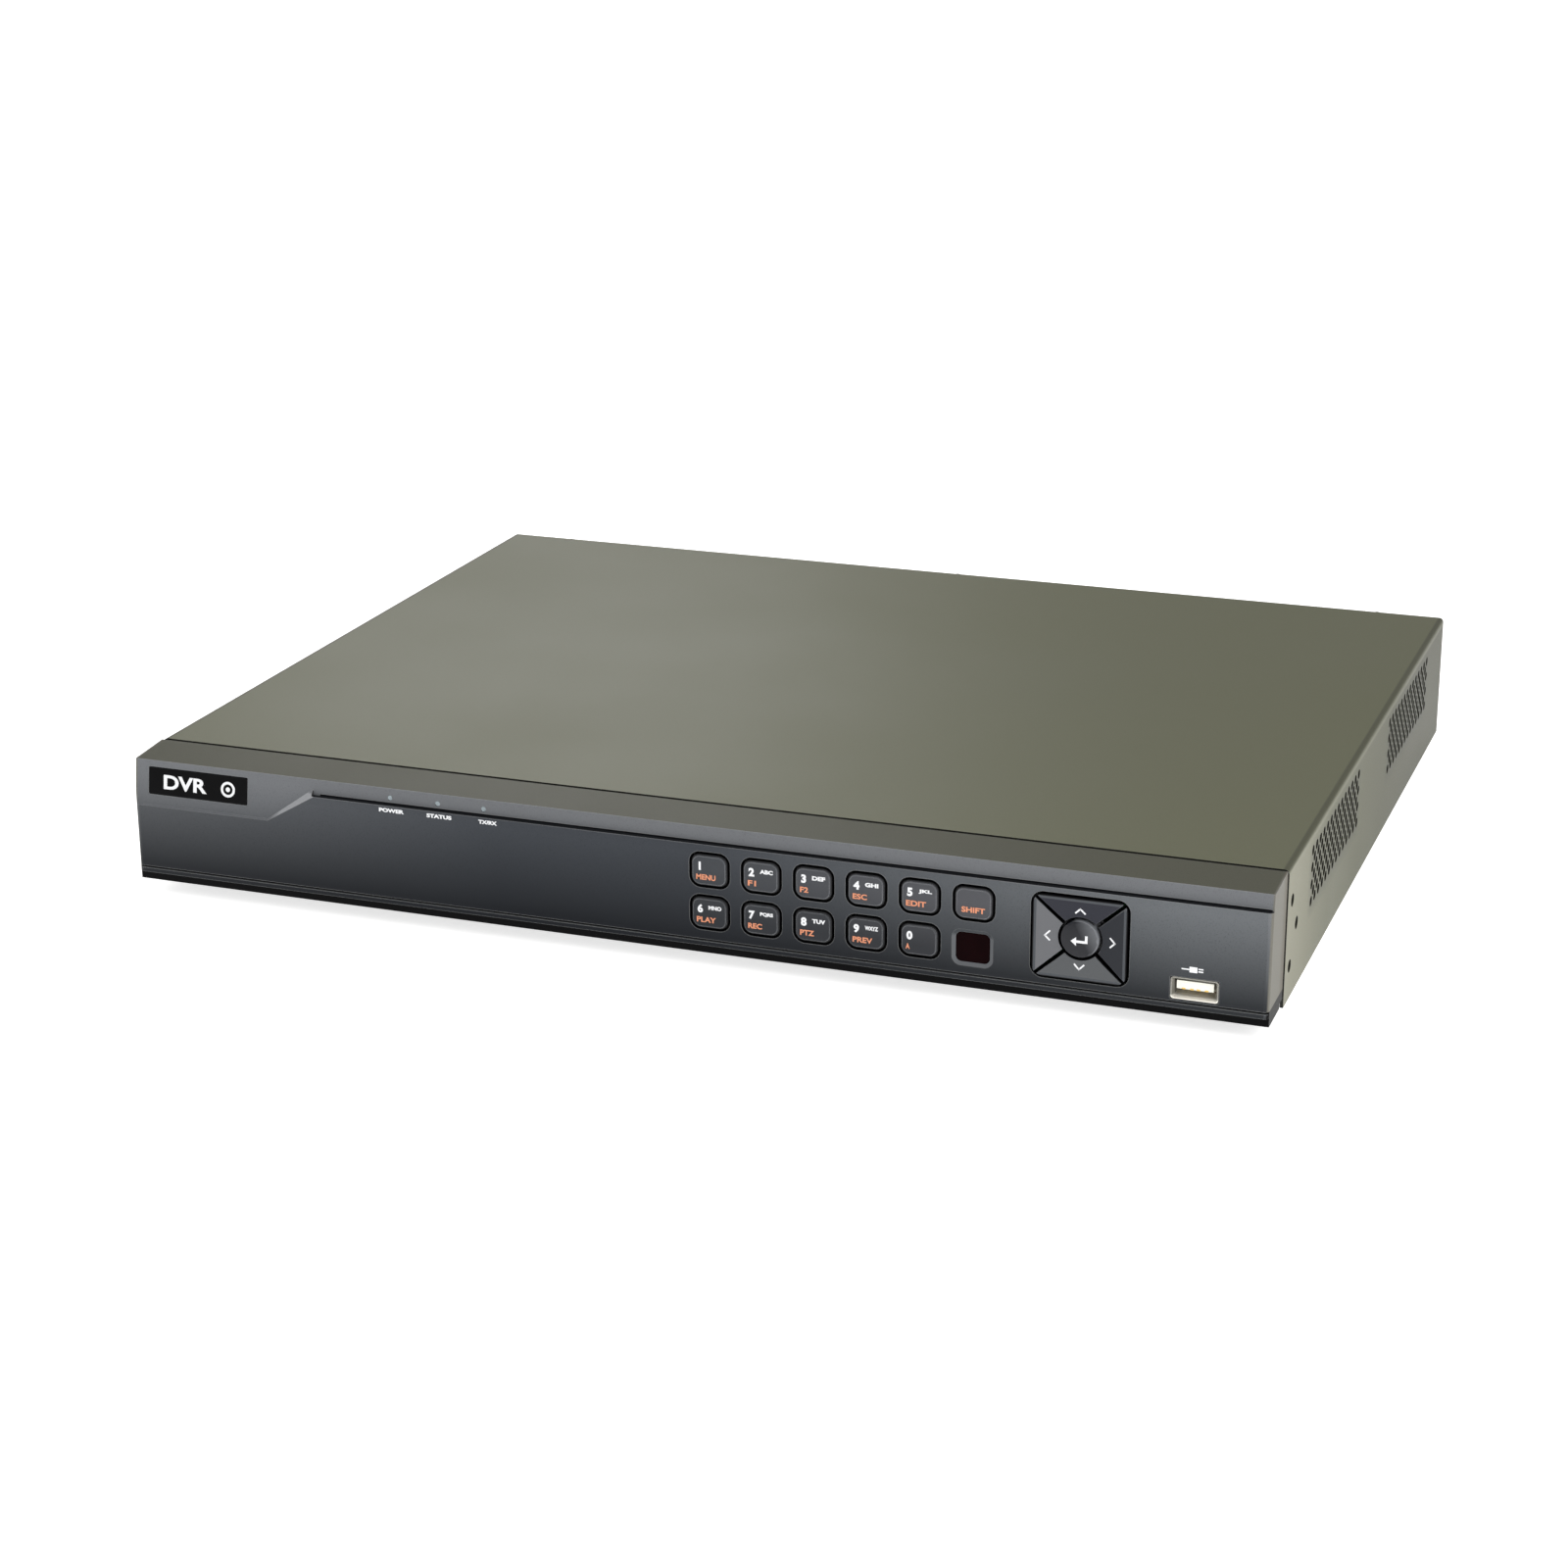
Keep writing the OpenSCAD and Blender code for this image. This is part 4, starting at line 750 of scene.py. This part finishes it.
class Print:
    """Marks gathered into one thin raised mesh on a plane that faces -Y, or +Y on the rear."""

    def __init__(self, rear=False):
        self.bm = bmesh.new()
        self.rear = rear

    def add(self, flat, faces, x, y, z):
        """Adds flat shapes with their lower left corner at x, z, on the surface at y."""
        mirror = -1 if self.rear else 1
        verts = [self.bm.verts.new((x + mirror * u, y, z + v)) for u, v in flat]
        made = []
        for face in faces:
            corners = [verts[i] for i in face]
            if len(set(corners)) > 2:
                made.append(self.bm.faces.new(corners))
        bmesh.ops.remove_doubles(self.bm, verts=[v for v in verts if v.is_valid], dist=1e-7)

    def text(self, words, x, y, z, height, width=None, bold=0.0, align="left", gap=1.0):
        flat, faces, wide = letter_shapes(words, height, width, bold, gap)
        mirror = -1 if self.rear else 1
        shift = {"left": 0.0, "centre": wide / 2, "right": wide}[align]
        self.add(flat, faces, x - mirror * shift, y, z - height / 2)

    def bar(self, x0, x1, y, z0, z1):
        mirror = -1 if self.rear else 1
        wide = abs(x1 - x0)
        start = min(x0, x1) if mirror > 0 else max(x0, x1)
        self.add([(0, 0), (wide, 0), (wide, z1 - z0), (0, z1 - z0)], [(0, 1, 2, 3)], start, y, z0)

    def stroke(self, points, y, width):
        """A bent line of even width through points given as (x, z)."""
        for (xa, za), (xb, zb) in zip(points, points[1:]):
            along = Vector((xb - xa, zb - za)).normalized() * width / 2
            off = Vector((-along.y, along.x))
            corners = [
                (xa - along.x + off.x, za - along.y + off.y), (xa - along.x - off.x, za - along.y - off.y),
                (xb + along.x - off.x, zb + along.y - off.y), (xb + along.x + off.x, zb + along.y + off.y),
            ]
            verts = [self.bm.verts.new((x, y, z)) for x, z in corners]
            self.bm.faces.new(verts)

    def finish(self, name, material, slot, body=CASE, thickness=INK):
        outward = 1 if self.rear else -1
        bmesh.ops.recalc_face_normals(self.bm, faces=self.bm.faces)
        for face in list(self.bm.faces):
            face.normal_update()
            if face.normal.y * outward < 0:
                face.normal_flip()
        lifted = bmesh.ops.extrude_face_region(self.bm, geom=list(self.bm.faces))
        moved = [g for g in lifted["geom"] if isinstance(g, bmesh.types.BMVert)]
        bmesh.ops.translate(self.bm, verts=moved, vec=(0, outward * thickness, 0))
        bmesh.ops.recalc_face_normals(self.bm, faces=self.bm.faces)
        mesh = bpy.data.meshes.new(name)
        self.bm.to_mesh(mesh)
        self.bm.free()
        mesh.materials.append(material)
        piece = bpy.data.objects.new(name, mesh)
        bpy.context.scene.collection.objects.link(piece)
        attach(piece, body)
        return piece


KEY_MARKS = {
    "key_1": ("1", "", "MENU"),
    "key_2": ("2", "ABC", "F1"),
    "key_3": ("3", "DEF", "F2"),
    "key_4": ("4", "GHI", "ESC"),
    "key_5": ("5", "JKL", "EDIT"),
    "key_6": ("6", "MNO", "PLAY"),
    "key_7": ("7", "PQRS", "REC"),
    "key_8": ("8", "TUV", "PTZ"),
    "key_9": ("9", "WXYZ", "PREV"),
    "key_0": ("0", "", "A"),
}
WORD_WIDTH = {1: 1.3, 2: 2.7, 3: 4.6, 4: 6.4}


def mark_keys(made):
    for name, (digit, letters, word) in KEY_MARKS.items():
        c = centre_of(name)
        white = Print()
        white.text(digit, c.x - 3.0 * MM, KEY_FRONT_Y, c.z + 1.4 * MM, 2.8 * MM, bold=0.05, align="centre")
        if letters:
            white.text(letters, c.x + 1.9 * MM, KEY_FRONT_Y, c.z + 1.9 * MM, 1.4 * MM,
                       4.3 * MM, 0.05, "centre")
        white.finish(name + "_digit", made["white_ink"], "cream_plastic", name)
        orange = Print()
        orange.text(word, c.x - 4.2 * MM, KEY_FRONT_Y, c.z - 2.2 * MM, 1.8 * MM,
                    WORD_WIDTH[len(word)] * MM, 0.03)
        orange.finish(name + "_word", made["orange_ink"], "lead_red", name)
    c = centre_of("key_shift")
    orange = Print()
    orange.text("SHIFT", c.x, KEY_FRONT_Y, c.z - 2.0 * MM, 1.8 * MM, 7.4 * MM, 0.03, "centre")
    orange.finish("key_shift_word", made["orange_ink"], "lead_red", "key_shift")


def mark_pad(made):
    enter = centre_of("pad_enter")
    size, thick = 1.4 * MM, 0.5 * MM
    reach_x, reach_z = 10.1 * MM, 9.0 * MM
    for name, dx, dz in (("pad_up", 0, 1), ("pad_down", 0, -1), ("pad_left", -1, 0), ("pad_right", 1, 0)):
        tip = Vector((enter.x + dx * (reach_x + size / 2), enter.z + dz * (reach_z + size / 2)))
        back = Vector((-dx * size, -dz * size))
        side = Vector((dz * size, dx * size))
        mark = Print()
        mark.stroke([tuple(tip + back + side), tuple(tip), tuple(tip + back - side)], 0.0, thick)
        piece = mark.finish(name + "_arrow", made["white_ink"], "cream_plastic", name)
        rim = Vector((dx * (PAD_HALF.x - PAD_RIM), dz * (PAD_HALF.y - PAD_RIM)))
        for v in piece.data.vertices:
            inward = rim.length - abs((v.co.x - enter.x) * dx + (v.co.z - enter.z) * dz)
            v.co.y += PAD_FRONT_Y + inward * math.tan(PAD_SLOPE)


def mark_enter(made):
    """Return arrow on the domed enter key, following the dome."""
    c = centre_of("pad_enter")
    sag = 0.7 * MM
    rim = 5.9 * MM
    dome = (rim * rim + sag * sag) / (2 * sag)
    mark = Print()
    w = 0.8 * MM
    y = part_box("pad_enter")[0].y
    mark.stroke([(c.x + 2.2 * MM, c.z + 1.1 * MM), (c.x + 2.2 * MM, c.z - 0.5 * MM),
                 (c.x - 1.2 * MM, c.z - 0.5 * MM)], y, w)
    head = [(-2.6, -0.5), (-0.9, 0.9), (-0.9, -1.9)]
    verts = [mark.bm.verts.new((c.x + u * MM, y, c.z + v * MM)) for u, v in head]
    mark.bm.faces.new(verts)
    bmesh.ops.triangulate(mark.bm, faces=mark.bm.faces)
    bmesh.ops.subdivide_edges(mark.bm, edges=mark.bm.edges, cuts=5, use_grid_fill=True)
    piece = mark.finish("pad_enter_arrow", made["white_ink"], "cream_plastic", "pad_enter")
    for v in piece.data.vertices:
        r2 = (v.co.x - c.x) ** 2 + (v.co.z - c.z) ** 2
        v.co.y += dome - math.sqrt(dome * dome - r2)


def mark_front(made):
    white = Print()
    height, z = 1.35 * MM, FOOT_H + 36.6 * MM
    for words, x, wide in (("POWER", -95.5, 8.8), ("STATUS", -78.7, 8.7), ("TX/RX", -61.7, 6.4)):
        white.text(words, x * MM, FACE_Y, z, height, wide * MM, 0.05, "centre")
    # A plug with two prongs over the USB socket
    x, z = 166.8 * MM, FOOT_H + 17.4 * MM
    white.bar(x - 1.2 * MM, x + 1.2 * MM, FACE_Y, z - 0.9 * MM, z + 0.9 * MM)
    white.bar(x + 1.5 * MM, x + 3.0 * MM, FACE_Y, z + 0.2 * MM, z + 0.6 * MM)
    white.bar(x + 1.5 * MM, x + 3.0 * MM, FACE_Y, z - 0.6 * MM, z - 0.2 * MM)
    white.bar(x - 3.6 * MM, x - 1.2 * MM, FACE_Y, z - 0.2 * MM, z + 0.2 * MM)
    white.finish("front_labels", made["white_ink"], "cream_plastic")


def usb_contacts(made):
    """Four contact strips under the tongue of the front socket, bent up over its front edge."""
    lo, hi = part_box("front_usb_tongue")
    c = (lo + hi) / 2
    under = TONGUE_UNDERSIDE
    front = lo.y
    wide, thick, up, back = 0.55 * MM, 0.08 * MM, 0.35 * MM, 4.0 * MM
    verts, faces = [], []
    for shift in (-3.5, -1.0, 1.0, 3.5):
        base = len(verts)
        outline = [
            (front - thick, under + up), (front - thick, under - thick), (front + back, under - thick),
            (front + back, under), (front, under), (front, under + up),
        ]
        for side in (-1, 1):
            for y, z in outline:
                verts.append((c.x + shift * MM + side * wide, y, z))
        count = len(outline)
        faces.append(tuple(base + k for k in (0, 1, 4, 5)))
        faces.append(tuple(base + k for k in (1, 2, 3, 4)))
        faces.append(tuple(base + count + k for k in (5, 4, 1, 0)))
        faces.append(tuple(base + count + k for k in (4, 3, 2, 1)))
        for k in range(count):
            nxt = (k + 1) % count
            faces.append((base + nxt, base + k, base + count + k, base + count + nxt))
    new_piece("front_usb_contacts", verts, faces, made["brass"])


def mark_badge(made):
    """Plain letters and a generic ring and dot on the badge plate."""
    lo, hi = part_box("name_badge")
    c = (lo + hi) / 2
    mark = Print()
    y = 0.0
    ring = []
    count, icon_x, outer, inner = 32, 11.2 * MM, 2.6 * MM, 1.75 * MM
    for i in range(count):
        a = i * math.tau / count
        ring.append((mark.bm.verts.new((icon_x + outer * math.cos(a), y, outer * math.sin(a))),
                     mark.bm.verts.new((icon_x + inner * math.cos(a), y, inner * math.sin(a)))))
    for i in range(count):
        a, b = ring[i], ring[(i + 1) % count]
        mark.bm.faces.new((a[0], b[0], b[1], a[1]))
    dot = [mark.bm.verts.new((icon_x + 0.8 * MM * math.cos(i * math.tau / 20), y,
                              0.8 * MM * math.sin(i * math.tau / 20))) for i in range(20)]
    mark.bm.faces.new(dot)
    mark.text("DVR", -4.6 * MM, y, 0.0, 4.8 * MM, 16.0 * MM, 0.03, "centre")
    piece = mark.finish("badge_marks", made["white_ink"], "cream_plastic", thickness=0.05 * MM)
    front = lo.y + (c.z - lo.z) * math.tan(BROW_LEAN)
    turn = Matrix.Translation((c.x, front, c.z)) @ Matrix.Rotation(-BROW_LEAN, 4, "X")
    piece.data.transform(turn)


def screw_recess_shade(made):
    """Painted shade for the cross recesses in the three cover screws and the slot in the earth screw: thin
    black marks on the heads.
    """
    dark = Print(rear=True)
    head_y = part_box("pan_screws")[1].y
    long, short = 1.5 * MM, 0.3 * MM
    z = CASE_TOP - 3.0 * MM
    for x in (-165 * MM, 0.0, 165 * MM):
        dark.bar(x - long, x + long, head_y, z - short, z + short)
        dark.bar(x - short, x + short, head_y, z - long, z + long)
    earth = centre_of("ground_screw")
    head_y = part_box("ground_screw")[1].y
    dark.bar(earth.x - 2.4 * MM, earth.x + 2.4 * MM, head_y, earth.z - 0.4 * MM, earth.z + 0.4 * MM)
    dark.finish("screw_recess_shade", made["rear_ink"], "black_moulding")


def mark_rear(made):
    dark = Print(rear=True)
    y = REAR_Y

    def label(words, x, z, height=1.8, width=None):
        dark.text(words, x * MM, y, FOOT_H + z * MM, height * MM, width and width * MM, 0.012, "centre")

    for i in range(8):
        x = 51.5 + 15.5 * i
        label(str(2 * (8 - i) - 1), x, 24.15, 1.6)
        label(str(2 * (8 - i)), x, 21.6, 1.6)
    label("VIDEO IN", 105.75, 4.6, 2.0)
    label("AUDIO IN", 19.5, 4.6, 2.0)
    for words, x, z in (("1", 33.5, 23.3), ("2", 33.5, 21.0), ("3", 19.5, 23.3), ("4", 19.5, 21.0)):
        label(words, x, z, 1.4)
    label("OUT", 5.5, 22.2, 1.6)
    label("MONITOR 1", -24, 21.2, 1.6)
    label("MONITOR 2", -24, 15.8, 1.6)
    label("LAN", -54, 23.8)
    label("USB", -77, 16.6)
    label("RS485", -99, 19.6)
    label("12 V DC", -123, 21.6)
    label("POWER", -150, 35.6)
    x, z = -174 * MM, FOOT_H + 19.4 * MM
    dark.bar(x - 1.8 * MM, x + 1.8 * MM, y, z, z + 0.35 * MM)
    dark.bar(x - 1.1 * MM, x + 1.1 * MM, y, z - 0.8 * MM, z - 0.45 * MM)
    dark.bar(x - 0.4 * MM, x + 0.4 * MM, y, z - 1.6 * MM, z - 1.25 * MM)
    dark.bar(x - 0.18 * MM, x + 0.18 * MM, y, z + 0.35 * MM, z + 2.0 * MM)
    dark.finish("rear_labels", made["rear_ink"], "black_moulding")


# ---- Build ----

make_camera()
materials = make_materials()
make_lights()
make_floor()
make_wall()
dress_nodes(materials)
mark_keys(materials)
mark_pad(materials)
mark_enter(materials)
mark_front(materials)
mark_badge(materials)
mark_rear(materials)
usb_contacts(materials)
screw_recess_shade(materials)

for key in [n for n in NODES if n.startswith("key_") and n != "key_board"]:
    soften(key, 0.25)
for key in ("pad_up", "pad_down", "pad_left", "pad_right"):
    soften(key, 0.3)
soften("pad_enter", 0.3, 3)
soften("front_bezel", 0.22)
soften("name_badge", 0.12)
soften("ir_window", 0.2)
